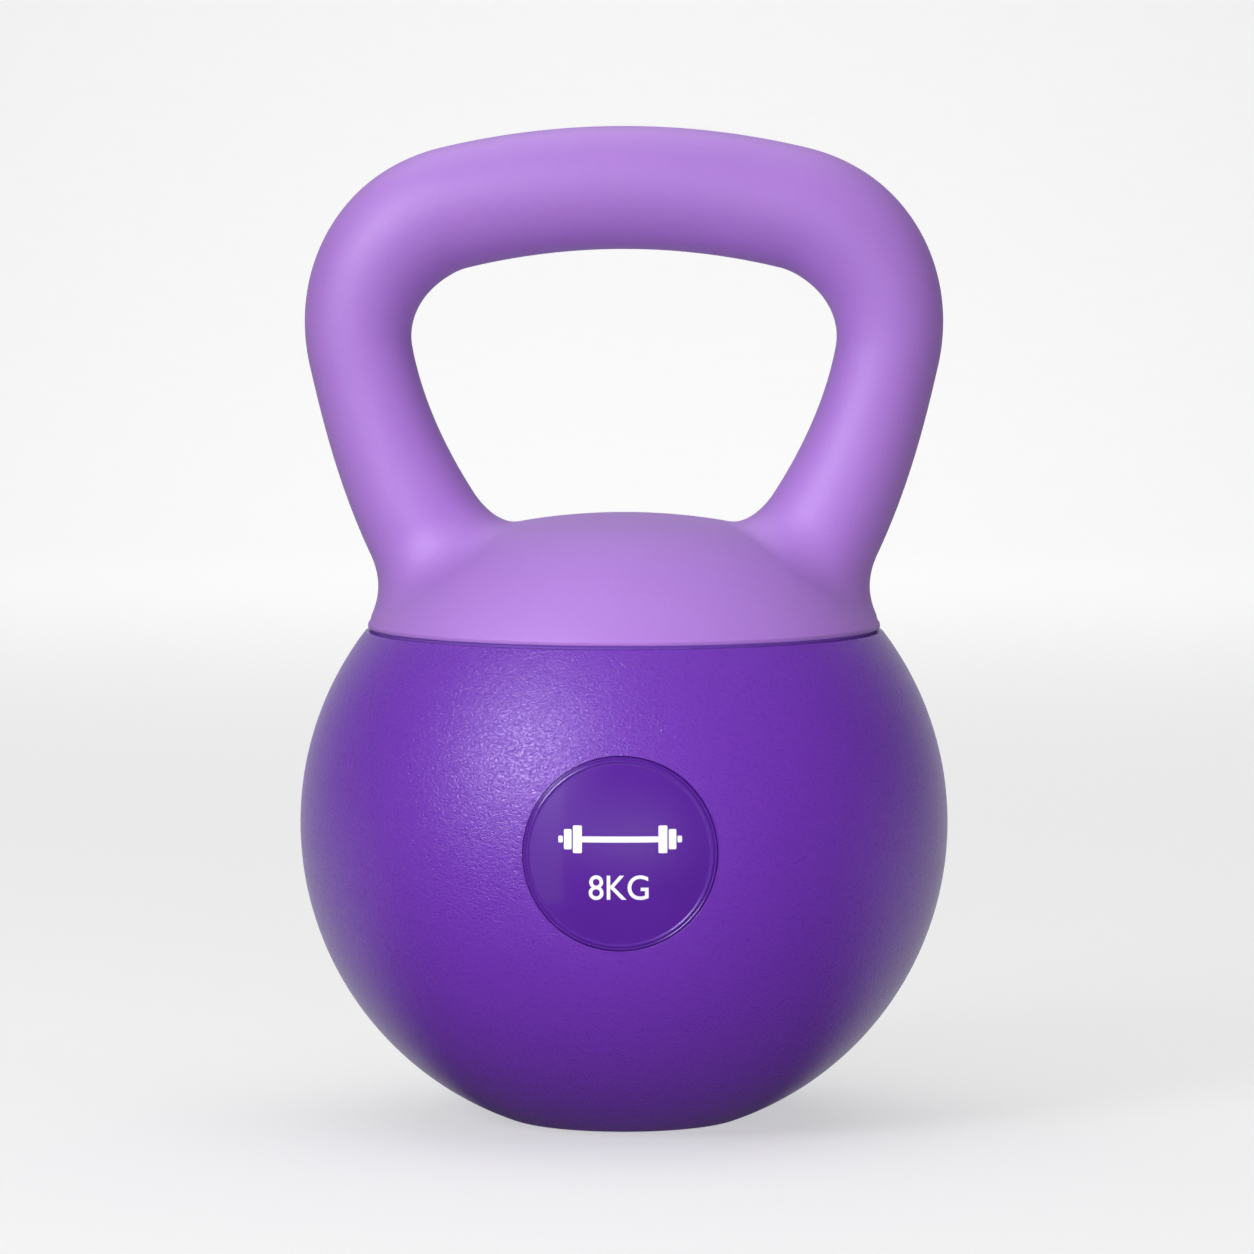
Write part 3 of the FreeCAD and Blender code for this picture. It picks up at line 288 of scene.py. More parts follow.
def ease(start, end, value):
    """0 below start, 1 above end, and a smooth 3t^2 - 2t^3 step between."""
    t = np.clip((value - start) / (end - start), 0, 1)
    return t * t * (3 - 2 * t)


def cover_radius(run):
    """The grip eases to the waist under the corner, then flares to the foot."""
    _, corner, leg = handle_arcs()
    slim = corner[5] + GRIP_RUN_ON
    waist = leg[5] + WAIST_DROP
    foot = leg[5] + leg[2] * leg[4]
    return (GRIP_RADIUS + (WAIST_RADIUS - GRIP_RADIUS) * ease(slim, waist, run)
            + (FOOT_RADIUS - WAIST_RADIUS) * ease(waist, foot, run))


def tube_room(run):
    """The bore that the steel tube fills, the same all along."""
    return np.full_like(run, TUBE_RADIUS + TUBE_ROOM)


def handle_distance(p):
    """Distance to the covered handle: that to the nearest of its arcs, less the cover's radius there."""
    x, y, z = np.abs(p[:, 0]), p[:, 1], p[:, 2]
    nearest = None
    for cx, cz, radius, start, turn, run in handle_arcs():
        angle = np.clip(start - np.arctan2(z - cz, x - cx), 0, turn)
        away = np.sqrt((x - cx - radius * np.cos(start - angle))**2 + y**2
                       + (z - cz - radius * np.sin(start - angle))**2)
        signed = away - cover_radius(run + radius * angle)
        nearest = signed if nearest is None else np.minimum(nearest, signed)
    return nearest


def dome_distance(p):
    """Distance to the dome: to the crown's sphere within the crown's cone, to the shoulder beyond it."""
    crown, shoulder, radius = dome_arcs()
    r, z = np.hypot(p[:, 0], p[:, 1]), p[:, 2]
    on_crown = np.hypot(r - crown[0], z - crown[1]) - CROWN_CURVE
    on_shoulder = np.hypot(r - shoulder[0], z - shoulder[1]) - radius
    lean = np.arctan2(r - crown[0], z - crown[1])
    return np.where(lean < CROWN_ANGLE, on_crown, on_shoulder)


def cover_distance(p):
    """Smooth minimum of handle and dome: min(a, b) - h^2 k / 4 with h = max(k - |a - b|, 0) / k."""
    a, b = handle_distance(p), dome_distance(p)
    width = BLEND_INSIDE + (BLEND_OUTSIDE - BLEND_INSIDE) * ease(-14.0, 6.0, np.abs(p[:, 0]) - FOOT_X)
    width = width + (BLEND_FRONT - BLEND_OUTSIDE) * ease(3.0, 18.0, np.abs(p[:, 1]))
    h = np.maximum(width - np.abs(a - b), 0) / width
    return np.minimum(a, b) - h * h * width / 4


def slope(field, p, step=0.02):
    """Gradient of a distance field by central differences."""
    grad = np.empty_like(p)
    for axis in range(3):
        d = np.zeros(3)
        d[axis] = step
        grad[:, axis] = (field(p + d) - field(p - d)) / (2 * step)
    return grad / np.maximum(np.linalg.norm(grad, axis=1, keepdims=True), 1e-9)


def onto(field, p, passes=6):
    """Moves points along the field's slope until they lie on its zero surface."""
    for _ in range(passes):
        p = p - slope(field, p) * field(p)[:, None]
    return p


def even_out(thing, loose, field, passes):
    """Spreads loose points: each moves towards the mean of its neighbours, then back onto the surface."""
    edges = np.empty(len(thing.data.edges) * 2, int)
    thing.data.edges.foreach_get("vertices", edges)
    a, b = edges.reshape(-1, 2).T
    p = vertices(thing)
    count = np.bincount(a, minlength=len(p)) + np.bincount(b, minlength=len(p))
    for _ in range(passes):
        total = np.zeros_like(p)
        np.add.at(total, a, p[b])
        np.add.at(total, b, p[a])
        mean = total / np.maximum(count, 1)[:, None]
        p[loose] += EVEN_PULL * (mean - p)[loose]
        p[loose] = onto(field, p[loose], 2)
    set_vertices(thing, p)


def swept_rings(name, radius_at, foot_stop, columns=112, pitch=1.5):
    """Closed rings round the handle's line: centre + radius (outward cos a + Y sin a)."""
    arcs = handle_arcs()
    rows = []
    for index, (cx, cz, radius, start, turn, run) in enumerate(arcs):
        on_leg = index == len(arcs) - 1
        reach = turn - (foot_stop / radius if on_leg else 0)
        steps = max(2, round(radius * reach / pitch))
        angle = np.linspace(0, reach, steps + 1)[min(index, 1):]
        facing = start - angle
        rows.append(np.stack([cx + radius * np.cos(facing), cz + radius * np.sin(facing),
                              np.cos(facing), np.sin(facing), run + radius * angle], 1))
    right = np.vstack(rows)
    left = right[1:][::-1] * np.array([-1, 1, -1, 1, 1])
    path = np.vstack([left, right])
    turn = np.linspace(0, 2 * math.pi, columns, endpoint=False)[None, :]
    size = radius_at(path[:, 4])[:, None]
    x = path[:, :1] + size * np.cos(turn) * path[:, 2:3]
    y = size * np.sin(turn)
    z = path[:, 1:2] + size * np.cos(turn) * path[:, 3:4]
    points = np.stack([x, y, z], -1).reshape(-1, 3)
    faces = [list(f) for f in grid_faces(len(path), columns)]
    faces.append(list(range(columns)))
    faces.append(list(range((len(path) - 1) * columns, len(path) * columns)))
    thing = mesh_object(name, points, faces)
    tidy_mesh(thing)
    return thing


def dome_shell():
    """The cap as a closed shell of revolution: dome, rounded lip, underside and the hollow above it."""
    crown, shoulder, radius = dome_arcs()
    lip_lean = math.atan2(LIP_TOP - shoulder[1], LIP_RADIUS - shoulder[0])
    top = arc(crown, CROWN_CURVE, math.pi / 2, math.pi / 2 - CROWN_ANGLE, 20)
    side = arc(shoulder, radius, math.pi / 2 - CROWN_ANGLE, lip_lean, 44)
    rounding = corner_round(side[-3], (LIP_RADIUS, LIP_TOP), (LIP_RADIUS, CAP_Z), LIP_ROUND, 7)
    side = side[:-1]
    foot = np.array([(LIP_RADIUS, CAP_Z + LIP_EDGE), (LIP_RADIUS - LIP_EDGE, CAP_Z)])
    drop = CAP_Z - shoulder[1]
    inner_lean = math.atan2(drop, math.sqrt((radius - COVER_WALL)**2 - drop**2))
    inside = arc(shoulder, radius - COVER_WALL, inner_lean, math.pi / 2 - CROWN_ANGLE, 24)
    inside_top = arc(crown, CROWN_CURVE - COVER_WALL, math.pi / 2 - CROWN_ANGLE, math.pi / 2, 12)
    profile = np.vstack([top, side[1:], rounding, foot, inside, inside_top[1:]])
    return revolve("cap_shell", profile, 288, closed=False)


def soft_handle():
    """Handle and cap in one moulding, with the tube's bore.

    Points by the join move onto the blended surface of handle and dome, and take its slope as their normal.
    """
    thing = dome_shell()
    join(thing, swept_rings("handle_rings", cover_radius, FOOT_STOP))
    cut(thing, swept_rings("tube_passage", tube_room, FOOT_STOP - 6.0, 64, 3.0))
    tidy_mesh(thing, 2e-5)
    p = vertices(thing)
    outer = (handle_distance(p) > -NEAR_SURFACE) & (dome_distance(p) > -NEAR_SURFACE)
    loose = outer & (p[:, 2] > LIP_TOP + LIP_KEPT)
    moved = p.copy()
    moved[loose] = onto(cover_distance, p[loose], 8)
    set_vertices(thing, moved)
    near = loose & (p[:, 2] < DOME_TOP + BLEND_REACH)
    even_out(thing, near, cover_distance, 14)
    p = vertices(thing)
    normals = np.empty(len(p) * 3, np.float32)
    thing.data.vertices.foreach_get("normal", normals)
    normals = normals.reshape(-1, 3)
    smooth = loose & (p[:, 2] > LIP_TOP + LIP_SHADED)
    normals[smooth] = slope(cover_distance, p[smooth])
    thing.data.polygons.foreach_set("use_smooth", np.full(len(thing.data.polygons), True))
    thing.data.normals_split_custom_set_from_vertices(normals.tolist())
    thing.name = "soft_handle_and_cap"
    return thing


# ---------------------------------------------------------------- the ball
def pin_hole(bearing):
    """A cylinder through the flange, at a bearing round the mouth."""
    top = MOUTH_Z + PAST
    bottom = MOUTH_Z - FLANGE_THICKNESS - PAST
    hole = revolve("pin_hole", [(0, top), (PIN_HOLE, top), (PIN_HOLE, bottom), (0, bottom)], 32, closed=False)
    place = np.array([PIN_CIRCLE * math.cos(bearing), PIN_CIRCLE * math.sin(bearing), 0])
    set_vertices(hole, vertices(hole) + place)
    return hole


def ball_cover():
    """The ball's skin as a closed shell: flat base, rounded heel, side arc, mouth, flange and inner wall."""
    heel_reach = SIDE_RADIUS - BASE_ROUND
    heel_x = SIDE_OFFSET + math.sqrt(heel_reach**2 - (EQUATOR_Z - BASE_ROUND)**2)
    heel = (heel_x, BASE_ROUND)
    side_centre = (SIDE_OFFSET, EQUATOR_Z)
    low = math.atan2(heel[1] - EQUATOR_Z, heel[0] - SIDE_OFFSET)
    high = math.atan2(MOUTH_Z - EQUATOR_Z, MOUTH_RADIUS - SIDE_OFFSET)
    side = arc(side_centre, SIDE_RADIUS, low, high, 88)
    mouth = corner_round(side[-2], (MOUTH_RADIUS, MOUTH_Z), (FLANGE_BORE, MOUTH_Z), MOUTH_ROUND, 6)
    inner = SIDE_RADIUS - SKIN_WALL
    flange_z = MOUTH_Z - FLANGE_THICKNESS
    neck = math.asin((flange_z - EQUATOR_Z) / inner)
    floor = math.asin((SKIN_WALL - EQUATOR_Z) / inner)
    profile = np.vstack([
        line((PORT_RADIUS, PORT_EDGE), (PORT_RADIUS + PORT_EDGE, 0), 2),
        line((PORT_RADIUS + PORT_EDGE, 0), (heel_x, 0), 6)[1:],
        arc(heel, BASE_ROUND, -math.pi / 2, low, 12)[1:],
        side[1:-1],
        mouth,
        line((FLANGE_BORE, MOUTH_Z), (FLANGE_BORE, flange_z), 2),
        arc(side_centre, inner, neck, floor, 60),
        [(PORT_RADIUS, SKIN_WALL)],
    ])
    thing = revolve("ball_cover", profile, 288)
    for index in range(PIN_COUNT):
        cut(thing, pin_hole(math.radians(90 + 360 * index / PIN_COUNT)))
    pocket = LABEL_RADIUS + LABEL_GAP
    reach = math.sqrt(RECESS_CURVE**2 - pocket**2)
    edge = math.sqrt(LABEL_CURVE**2 - pocket**2)
    floor_arc = arc((0, 0), RECESS_CURVE, math.pi / 2, math.atan2(reach, pocket), 14)
    flare = arc((pocket + POCKET_ROUND, edge - POCKET_ROUND), POCKET_ROUND, math.pi, math.pi / 2 + 0.5, 6)
    outside = [(pocket + 1.6, edge + 2.0), (0, LABEL_CURVE + 4.0)]
    tool_profile = np.vstack([floor_arc, flare, outside])
    tool = revolve("label_pocket", tool_profile, 192, closed=False)
    set_vertices(tool, to_label(vertices(tool)))
    tidy_mesh(tool)
    cut(thing, tool)
    smooth_with_edges(thing)
    thing.name = "ball_cover"
    return thing


def to_label(p):
    """Turns points made round the Z axis so that Z points out of the label, towards -Y."""
    return np.stack([p[:, 0] + LABEL_X, LABEL_CENTRE - p[:, 2], p[:, 1] + LABEL_Z], 1)


# ---------------------------------------------------------------- the badge
def label_badge():
    """A curved disc with two fine rings round its edge, as a closed shell round the label's axis."""
    def at(radius, lift):
        return (radius, math.sqrt((FACE_CURVE + lift)**2 - radius**2))
    face = arc((0, 0), FACE_CURVE, math.pi / 2, math.acos(FACE_RADIUS / FACE_CURVE), 40)
    # an outer ring a little lower than the inner one, with a fine groove between
    rim = [at(24.42, 0.03), at(24.52, 0.16), at(24.62, 0.255), at(24.74, 0.295), at(24.9, 0.3),
           at(25.06, 0.29), at(25.17, 0.24), at(25.26, 0.12), at(25.34, 0.03), at(25.42, 0.0),
           at(25.5, 0.03), at(25.58, 0.12), at(25.66, 0.19), at(25.76, 0.225), at(25.88, 0.2),
           at(25.98, 0.12), at(26.05, 0.0), at(26.09, -0.2)]
    back = [(LABEL_RADIUS, math.sqrt(FILM_CURVE**2 - LABEL_RADIUS**2))]
    under = arc((0, 0), FILM_CURVE, math.acos(LABEL_RADIUS / FILM_CURVE), math.pi / 2, 12)
    thing = revolve("label_badge", np.vstack([face, rim, back, under[1:]]), 256, closed=False)
    set_vertices(thing, to_label(vertices(thing)))
    tidy_mesh(thing)
    smooth_with_edges(thing, 50)
    return thing


def bar(x0, x1, z0, z1, radius, steps=6):
    """Outline of a rectangle with rounded corners."""
    middle = [(x1 - radius, z1 - radius, 0), (x0 + radius, z1 - radius, 1),
              (x0 + radius, z0 + radius, 2), (x1 - radius, z0 + radius, 3)]
    quarter = math.pi / 2
    return np.vstack([arc((x, z), radius, q * quarter, (q + 1) * quarter, steps) for x, z, q in middle])


def printed(name, flat):
    """Lays a flat drawing on the label's curved face as a thin layer of ink.

    A point (x, z) of the drawing moves straight forward until it is FACE_CURVE + lift from the label's
    centre of curvature.
    """
    work = bmesh.new()
    work.from_mesh(flat.data)
    bmesh.ops.triangulate(work, faces=work.faces)
    for _ in range(3):
        long = [e for e in work.edges if e.calc_length() > INK_MESH * MM]
        if long:
            bmesh.ops.subdivide_edges(work, edges=long, cuts=1)
            bmesh.ops.triangulate(work, faces=work.faces)
    bmesh.ops.recalc_face_normals(work, faces=work.faces)
    work.to_mesh(flat.data)
    work.free()
    p = vertices(flat)
    high = p[:, 2] > p[:, 2].mean()
    lift = np.where(high, INK_THICKNESS, -INK_ROOT)
    depth = np.sqrt((FACE_CURVE + lift)**2 - p[:, 0]**2 - p[:, 1]**2)
    set_vertices(flat, np.stack([p[:, 0] + LABEL_X, LABEL_CENTRE - depth, p[:, 1] + LABEL_Z], 1))
    tidy_mesh(flat)
    flat.data.polygons.foreach_set("use_smooth", np.full(len(flat.data.polygons), False))
    flat.name = name
    return flat


def plate_of(name, outlines):
    """Closed plates from flat outlines: each outline at -0.5 and +0.5 mm, capped, with quads between."""
    points, faces, start = [], [], 0
    for outline in outlines:
        count = len(outline)
        here = np.arange(count)
        after = (here + 1) % count
        points += [np.column_stack([outline, np.full(count, side)]) for side in (-0.5, 0.5)]
        faces += (start + np.stack([here, after, after + count, here + count], 1)).tolist()
        faces += [(start + here[::-1]).tolist(), (start + count + here).tolist()]
        start += 2 * count
    return mesh_object(name, np.vstack(points), faces, smooth=False)


def weight_mark():
    """The weight in a plain sans, made a mesh before it is laid on the badge."""
    curve = bpy.data.curves.new("weight_text", "FONT")
    curve.body = "8KG"
    curve.offset = 0.006
    curve.size = 1.0
    curve.extrude = 0.5 * MM
    curve.resolution_u = 6
    text = bpy.data.objects.new("weight_text", curve)
    bpy.context.scene.collection.objects.link(text)
    bpy.context.view_layer.update()
    mesh = bpy.data.meshes.new_from_object(text.evaluated_get(bpy.context.evaluated_depsgraph_get()))
    bpy.data.objects.remove(text)
    thing = bpy.data.objects.new("weight_mark", mesh)
    bpy.context.scene.collection.objects.link(thing)
    p = vertices(thing)
    low, high = p.min(0), p.max(0)
    size = np.array([DIGITS_WIDTH, DIGITS_HEIGHT, 1.0])
    corner = np.array([DIGITS_LEFT, DIGITS_BOTTOM, -0.5])
    set_vertices(thing, (p - low) / (high - low) * size + corner)
    tidy_mesh(thing)
    return printed("weight_mark", thing)


def barbell_mark():
    """A plain barbell sign: a bar with two plates and a collar at each end."""
    grip = SIGN_PLATES[0][0]
    shapes = [bar(-grip, grip, SIGN_RISE - SIGN_BAR, SIGN_RISE + SIGN_BAR, 0.3)]
    for side in (-1, 1):
        for inner, outer, half in SIGN_PLATES:
            left, right = sorted((side * inner, side * outer))
            shapes.append(bar(left, right, SIGN_RISE - half, SIGN_RISE + half, 0.35))
    return printed("barbell_mark", plate_of("barbell_mark", shapes))


# ---------------------------------------------------------------- shader words
class Value:
    """A socket in a node tree; arithmetic on it adds Math nodes."""

    def __init__(self, paint, socket):
        self.paint = paint
        self.socket = socket

    def maths(self, operation, first, second=None):
        inputs = {0: first} if second is None else {0: first, 1: second}
        return self.paint.node("ShaderNodeMath", {"operation": operation}, inputs)

    def __add__(self, other):
        return self.maths("ADD", self, other)

    def __sub__(self, other):
        return self.maths("SUBTRACT", self, other)

    def __rsub__(self, other):
        return self.maths("SUBTRACT", other, self)

    def __mul__(self, other):
        return self.maths("MULTIPLY", self, other)

    def size(self):
        return self.maths("ABSOLUTE", self)

    def at_least(self, other):
        return self.maths("MAXIMUM", self, other)

    __radd__ = __add__
    __rmul__ = __mul__


class Paint:
    """A material and the one way of adding nodes to it."""

    def __init__(self, name):
        self.material = bpy.data.materials.new(name)
        self.material.use_nodes = True
        self.tree = self.material.node_tree
        self.tree.nodes.clear()
        self.place = self.node("ShaderNodeTexCoord", output="Object")

    def node(self, kind, settings=None, inputs=None, output=0):
        made = self.tree.nodes.new(kind)
        for name, value in (settings or {}).items():
            setattr(made, name, value)
        for name, value in (inputs or {}).items():
            if isinstance(value, Value):
                self.tree.links.new(value.socket, made.inputs[name])
            else:
                made.inputs[name].default_value = value
        return Value(self, made.outputs[output])

    def scaled(self, x, y, z):
        return self.node("ShaderNodeMapping", None, {"Vector": self.place, "Scale": (x, y, z)})

    def noise(self, scale, detail=2.0, roughness=0.5, distortion=0.0, place=None):
        return self.node("ShaderNodeTexNoise", None, {
            "Vector": place or self.place, "Scale": scale, "Detail": detail,
            "Roughness": roughness, "Distortion": distortion})

    def blend(self, factor, first, second):
        return self.node("ShaderNodeMix", {"data_type": "RGBA"}, {0: factor, 6: first, 7: second}, 2)

    def bump(self, height, distance, strength, under=None):
        inputs = {"Height": height, "Distance": distance, "Strength": strength}
        if under is not None:
            inputs["Normal"] = under
        return self.node("ShaderNodeBump", None, inputs)

    def finish(self, **inputs):
        named = {name.replace("_", " "): value for name, value in inputs.items()}
        shader = self.node("ShaderNodeBsdfPrincipled", None, named)
        self.node_output(shader)
        return self.material

    def node_output(self, shader):
        out = self.tree.nodes.new("ShaderNodeOutputMaterial")
        self.tree.links.new(shader.socket, out.inputs["Surface"])


def colour(red, green, blue):
    """A colour given as display values from 0 to 255, as the linear values that shaders use."""
    def linear(c):
        c = c / 255
        return c / 12.92 if c <= 0.04045 else ((c + 0.055) / 1.055)**2.4
    return (linear(red), linear(green), linear(blue), 1.0)


def handle_vinyl():
    """Satin moulded vinyl: even lilac, a hair-fine grain and faint cloudiness."""
    paint = Paint("lilac satin vinyl")
    cloud = paint.noise(38.0, 3.0)
    grain = paint.noise(2200.0, 2.0, 0.6)
    speck = paint.noise(800.0, 3.0, 0.6)
    base = paint.blend(cloud * 0.5 + speck * 0.5, (0.385, 0.172, 0.65, 1), (0.455, 0.212, 0.72, 1))
    rough = 0.54 + 0.05 * cloud + 0.05 * speck
    skin = paint.bump(grain, 0.00007, 0.6)
    skin = paint.bump(speck, 0.0002, 0.3, skin)
    return paint.finish(Base_Color=base, Roughness=rough, Normal=skin, IOR=1.5,
                        Specular_IOR_Level=0.65)


def ball_vinyl():
    """Grained vinyl like fine leather: short wavy ridges with small pits between. Its colour is paler on the
    ridge tops and darker in the pits, a painted highlight and painted shade that follow the relief, mixed
    with a random cloudy tone.
    """
    paint = Paint("plum grained vinyl")
    cloud = paint.noise(24.0, 3.0)
    ridge_noise = paint.noise(1100.0, 1.0, 0.5, 0.8, paint.scaled(0.8, 0.8, 1.2))
    ridge = (1 - 4.5 * (ridge_noise - 0.5).size()).at_least(0.0)
    pebble = paint.noise(1900.0, 2.0)
    height = ridge * 0.8 + pebble * 0.3
    # painted highlight and painted shade: the colour is paler on the ridge tops and darker in the pits,
    # following the bump's relief; the cloud part is random tone
    base = paint.blend(ridge * 0.7 + cloud * 0.3, (0.135, 0.025, 0.4, 1), (0.18, 0.036, 0.5, 1))
    rough = 0.34 - 0.04 * ridge + 0.04 * cloud
    skin = paint.bump(height, 0.00013, 0.75)
    return paint.finish(Base_Color=base, Roughness=rough, Normal=skin, IOR=1.5,
                        Specular_IOR_Level=0.5)


def badge_plastic():
    """Glossy clear-coated plastic, very faintly mottled like a moulded badge."""
    paint = Paint("glossy violet badge")
    cloud = paint.noise(60.0, 2.0)
    base = paint.blend(cloud, (0.09, 0.013, 0.3, 1), (0.105, 0.017, 0.34, 1))
    wave = paint.noise(45.0, 1.0)
    skin = paint.bump(wave, 0.0004, 0.1)
    return paint.finish(Base_Color=base, Roughness=0.28 + 0.04 * cloud, Normal=skin, IOR=1.45,
                        Specular_IOR_Level=0.25, Coat_Weight=0.7, Coat_Roughness=0.09)


def ink(name):
    """Screen-printed white ink with the slightest unevenness."""
    paint = Paint(name)
    spread = paint.noise(1400.0, 3.0)
    base = paint.blend(spread, colour(246, 243, 250), colour(252, 251, 254))
    return paint.finish(Base_Color=base, Roughness=0.4 + 0.1 * spread,
                        Normal=paint.bump(spread, 0.000005, 0.2))


def rubber(name, dark, light):
    """Moulded rubber: matt, with a fine pitted grain and pale bloom."""
    paint = Paint(name)
    pits = paint.noise(1800.0, 3.0)
    bloom = paint.noise(90.0, 4.0)
    base = paint.blend(bloom, dark, light)
    return paint.finish(Base_Color=base, Roughness=0.62 + 0.15 * bloom,
                        Normal=paint.bump(pits, 0.00006, 0.4))


def moulded(name, dark, light):
    """Plain moulded plastic with a light spark-eroded texture."""
    paint = Paint(name)
    spark = paint.noise(1500.0, 2.0)
    flow = paint.noise(50.0, 2.0)
    base = paint.blend(flow, dark, light)
    return paint.finish(Base_Color=base, Roughness=0.38 + 0.12 * spark,
                        Normal=paint.bump(spark, 0.00004, 0.3))


def metal(name, dark, light, rough, drawn=(1.0, 1.0, 1.0)):
    """Bare or plated metal, its fine marks drawn out along one direction, with cloudy tarnish."""
    paint = Paint(name)
    marks = paint.noise(900.0, 3.0, place=paint.scaled(*drawn))
    tarnish = paint.noise(70.0, 4.0)
    base = paint.blend(tarnish, dark, light)
    return paint.finish(Base_Color=base, Metallic=1.0, Roughness=rough + 0.15 * tarnish,
                        Normal=paint.bump(marks, 0.00003, 0.4))


def weld_metal():
    """Weld bead: ripples, and blue-brown heat colour."""
    paint = Paint("weld bead")
    ripple = paint.noise(500.0, 2.0, 0.5, 1.0)
    heat = paint.noise(120.0, 3.0)
    base = paint.blend(heat, colour(96, 88, 84), colour(150, 142, 132))
    return paint.finish(Base_Color=base, Metallic=0.9, Roughness=0.4 + 0.2 * ripple,
                        Normal=paint.bump(ripple, 0.0003, 0.6))


def sand_grains():
    """Packed iron sand: dark grains with a few bright faces."""
    paint = Paint("iron sand")
    cells = {"Vector": paint.place, "Scale": 1600.0}
    grain = paint.node("ShaderNodeTexVoronoi", None, cells, "Distance")
    tone = paint.noise(1500.0, 2.0)
    base = paint.blend(tone, colour(38, 36, 38), colour(92, 88, 86))
    return paint.finish(Base_Color=base, Metallic=0.4, Roughness=0.5 + 0.3 * tone,
                        Normal=paint.bump(grain, 0.0003, 0.8))


def clear_film():
    """Adhesive film: milky, soft and slightly uneven."""
    paint = Paint("adhesive film")
    spread = paint.noise(300.0, 3.0)
    base = paint.blend(spread, colour(206, 200, 188), colour(226, 221, 210))
    return paint.finish(Base_Color=base, Roughness=0.3 + 0.2 * spread,
                        Normal=paint.bump(spread, 0.00005, 0.3))


def studio_paint():
    """Pale studio paper."""
    paint = Paint("studio paper")
    fibre = paint.noise(60.0, 3.0)
    base = paint.blend(fibre, (0.47, 0.47, 0.472, 1), (0.49, 0.49, 0.49, 1))
    return paint.finish(Base_Color=base, Roughness=0.9, Specular_IOR_Level=0.1,
                        Emission_Color=(1.0, 1.0, 1.0, 1.0), Emission_Strength=PAPER_GLOW)


# ---------------------------------------------------------------- the object
def shown(thing, nodes, material):
    """Puts a finished piece in place of its CAD nodes and its finish."""
    thing.data.materials.clear()
    thing.data.materials.append(material)
    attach(thing, "root")
    if nodes:
        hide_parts(*nodes)


white = ink("white screen print")
shown(soft_handle(), ["handle_cover"], handle_vinyl())
shown(ball_cover(), ["ball_skin"], ball_vinyl())
shown(label_badge(), ["label_disc"], badge_plastic())
shown(weight_mark(), ["label_print"], white)
shown(barbell_mark(), ["label_print"], white)

zinc = metal("bright zinc plate", colour(150, 156, 160), colour(196, 202, 206), 0.25)
FINISHES = {
    "mouth_gasket": rubber("plum gasket rubber", colour(112, 66, 168), colour(122, 74, 180)),
    "plug_seal": rubber("dark seal rubber", colour(30, 30, 33), colour(48, 48, 52)),
    "filler_plug": moulded("plum plug plastic", colour(62, 34, 98), colour(72, 42, 110)),
    "filler_bush": moulded("grey bush plastic", colour(110, 110, 116), colour(128, 128, 134)),
    "cap_frame": moulded("white frame plastic", colour(206, 206, 202), colour(222, 222, 218)),
    "handle_tube": metal("drawn steel tube", colour(128, 130, 134), colour(164, 166, 170), 0.3,
                         drawn=(1.0, 0.1, 1.0)),
    "tube_welds": weld_metal(),
    "anchor_plate": metal("milled steel plate", colour(120, 122, 126), colour(156, 158, 162), 0.35,
                          drawn=(0.1, 1.0, 1.0)),
    "clamp_plate": metal("rolled steel plate", colour(112, 114, 118), colour(148, 150, 154), 0.4,
                         drawn=(0.1, 1.0, 1.0)),
    "anchor_nut": zinc,
    "clamp_washer": zinc,
    "lock_washer": zinc,
    "clamp_bolt": zinc,
    "locating_pins": zinc,
    "iron_sand": sand_grains(),
    "label_adhesive": clear_film(),
}
for name, material in FINISHES.items():
    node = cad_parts[name]
    node.data.materials.clear()
    node.data.materials.append(material)


# ---------------------------------------------------------------- studio
def paper_sheet(name, depth, height):
    """A strip of studio paper: a line of (depth, height) points carried across in X."""
    count = len(depth)
    across = np.repeat([[-PAPER_REACH], [PAPER_REACH]], count, 1)
    points = np.stack([across, np.tile(depth, (2, 1)), np.tile(height, (2, 1))], -1)
    here = np.arange(count - 1)
    faces = np.stack([here, count + here, count + here + 1, here + 1], -1)
    sheet = mesh_object(name, points.reshape(-1, 3) / MM, faces)
    sheet.visible_diffuse = False
    return sheet


def studio_paper():
    """Floor in front, and behind it a floor that turns up into a backdrop."""
    turn = np.linspace(0, math.pi / 2, 24)[1:]
    front = paper_sheet("paper_front", np.linspace(-4.0, 0.0, 3), np.zeros(3))
    front.visible_glossy = False
    back = paper_sheet("paper_back", np.concatenate([[0.0, 2.4], 2.4 + 1.4 * np.sin(turn), [3.8]]),
                       np.concatenate([[0.0, 0.0], 1.4 * (1 - np.cos(turn)), [3.5]]))
    paint = studio_paint()
    for sheet in (front, back):
        sheet.data.materials.append(paint)
    return front, back


# name, place, target, width, height, power, seen in reflections, lights surfaces, spread in degrees
SOFT_LIGHTS = (
    ("overhead box", (0.0, 0.1, 2.2), STUDIO_MIDDLE, 3.0, 3.0, 33.0, False, True, 180),
    ("key box", (-1.3, -1.5, 1.15), STUDIO_MIDDLE, 0.8, 0.8, 16.0, True, True, 180),
    ("front box", (-0.2, -2.8, 0.25), STUDIO_MIDDLE, 2.4, 1.0, 50.0, False, True, 180),
    ("backdrop box", (0.0, 2.1, 1.3), (0.0, 3.1, 0.05), 0.6, 0.45, 13.0, False, True, 180),
    ("glow card", (-1.15, -1.5, 1.12), STUDIO_MIDDLE, 0.9, 0.9, 31.0, True, False, 180),
    ("top card", (-0.3, 0.9, 1.9), STUDIO_MIDDLE, 1.6, 1.0, 14.0, True, False, 180),
    ("left card", (-0.98, -1.92, 0.1), STUDIO_MIDDLE, 0.5, 1.8, 1.6, True, False, 180),
    ("low fill", (0.1, -1.15, 0.05), (0, 0, -0.02), 1.2, 0.2, 0.55, False, True, 40),
)


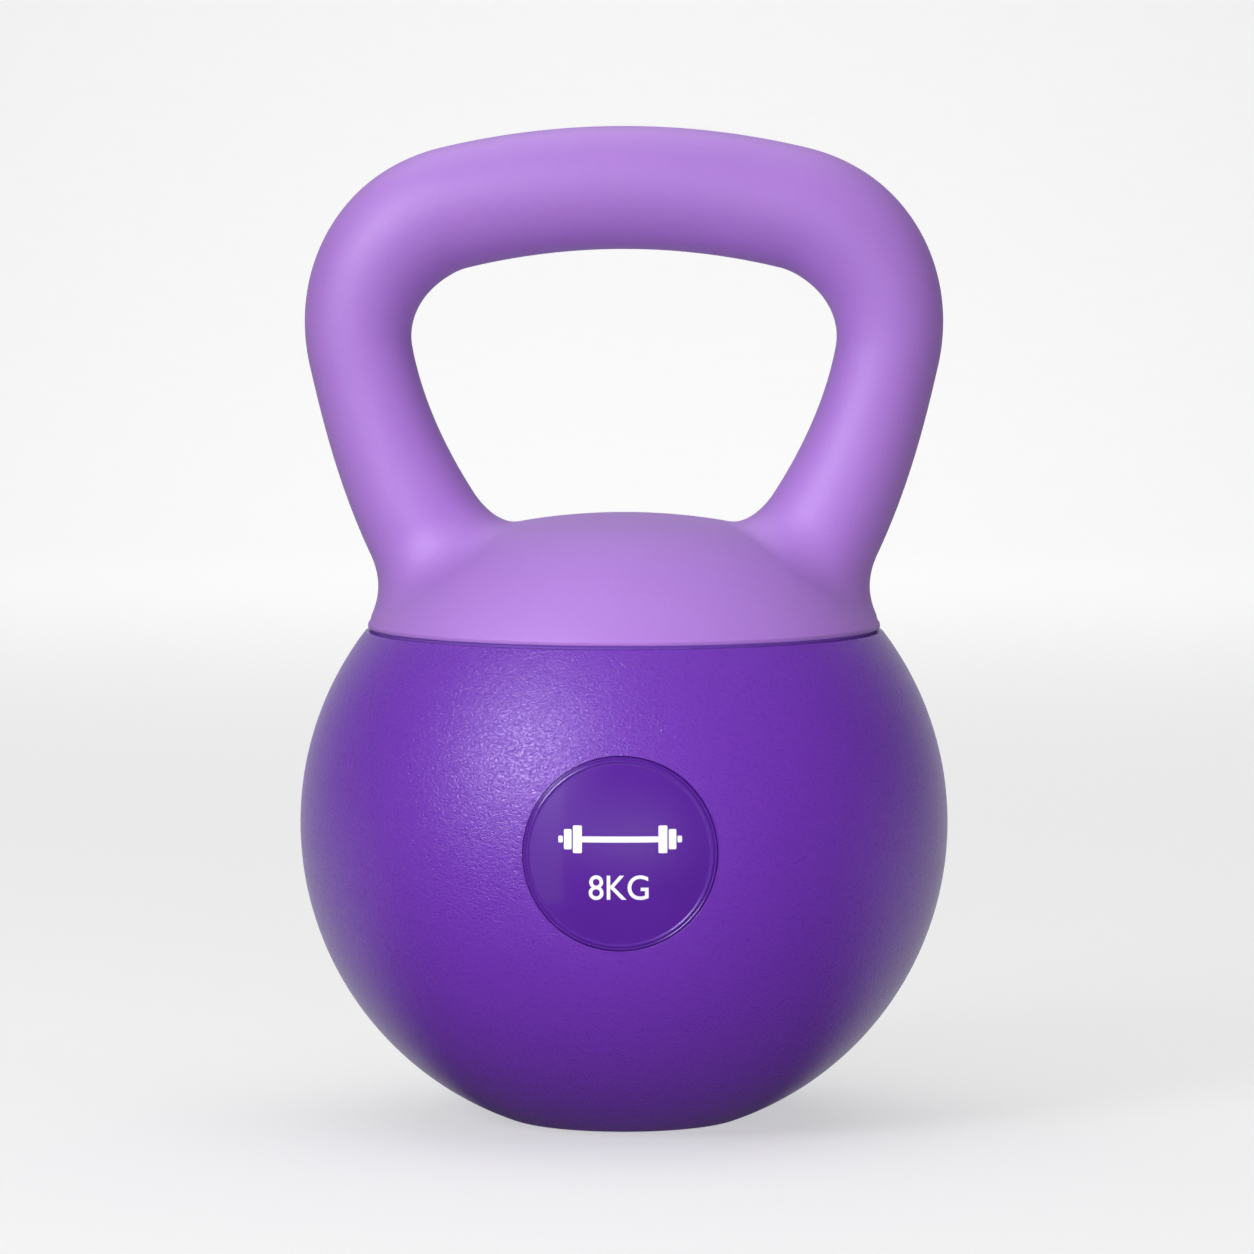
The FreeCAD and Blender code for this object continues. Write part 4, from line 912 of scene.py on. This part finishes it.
def soft_light(name, place, target, width, height, power, reflected, lighting, spread):
    """A rectangular soft box that faces a target point."""
    lamp = bpy.data.lights.new(name, "AREA")
    lamp.shape = "RECTANGLE"
    lamp.size = width
    lamp.size_y = height
    lamp.energy = power
    lamp.spread = math.radians(spread)
    thing = bpy.data.objects.new(name, lamp)
    thing.location = place
    thing.rotation_euler = (Vector(target) - Vector(place)).to_track_quat("-Z", "Y").to_euler()
    thing.visible_glossy = reflected
    thing.visible_diffuse = lighting
    bpy.context.scene.collection.objects.link(thing)
    return thing


def studio_air():
    """Faint light from all round, and a brighter white where the camera sees past the paper."""
    world = bpy.data.worlds.new("studio air")
    world.use_nodes = True
    tree = world.node_tree
    dim = tree.nodes["Background"]
    dim.inputs["Color"].default_value = (0.98, 0.98, 1.0, 1)
    dim.inputs["Strength"].default_value = AIR_ON_OBJECT
    behind = tree.nodes.new("ShaderNodeBackground")
    behind.inputs["Strength"].default_value = AIR_BEHIND
    ray = tree.nodes.new("ShaderNodeLightPath")
    mix = tree.nodes.new("ShaderNodeMixShader")
    tree.links.new(ray.outputs["Is Camera Ray"], mix.inputs["Fac"])
    tree.links.new(dim.outputs["Background"], mix.inputs[1])
    tree.links.new(behind.outputs["Background"], mix.inputs[2])
    tree.links.new(mix.outputs["Shader"], tree.nodes["World Output"].inputs["Surface"])
    bpy.context.scene.world = world


def studio():
    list(studio_paper())
    [soft_light(*row) for row in SOFT_LIGHTS]
    studio_air()
    bpy.context.scene.view_settings.view_transform = "Standard"


def camera():
    """A long lens well in front, a little above the handle, tipped down."""
    lens = bpy.data.cameras.new("camera")
    lens.sensor_width = 36.0
    lens.lens = CAMERA_LENS
    lens.clip_end = 60.0
    thing = bpy.data.objects.new("camera", lens)
    thing.location = (CAMERA_ACROSS, -CAMERA_AWAY, CAMERA_HEIGHT)
    thing.rotation_euler = (math.pi / 2 - CAMERA_TIP, 0, 0)
    bpy.context.scene.collection.objects.link(thing)
    bpy.context.scene.camera = thing


studio()
camera()
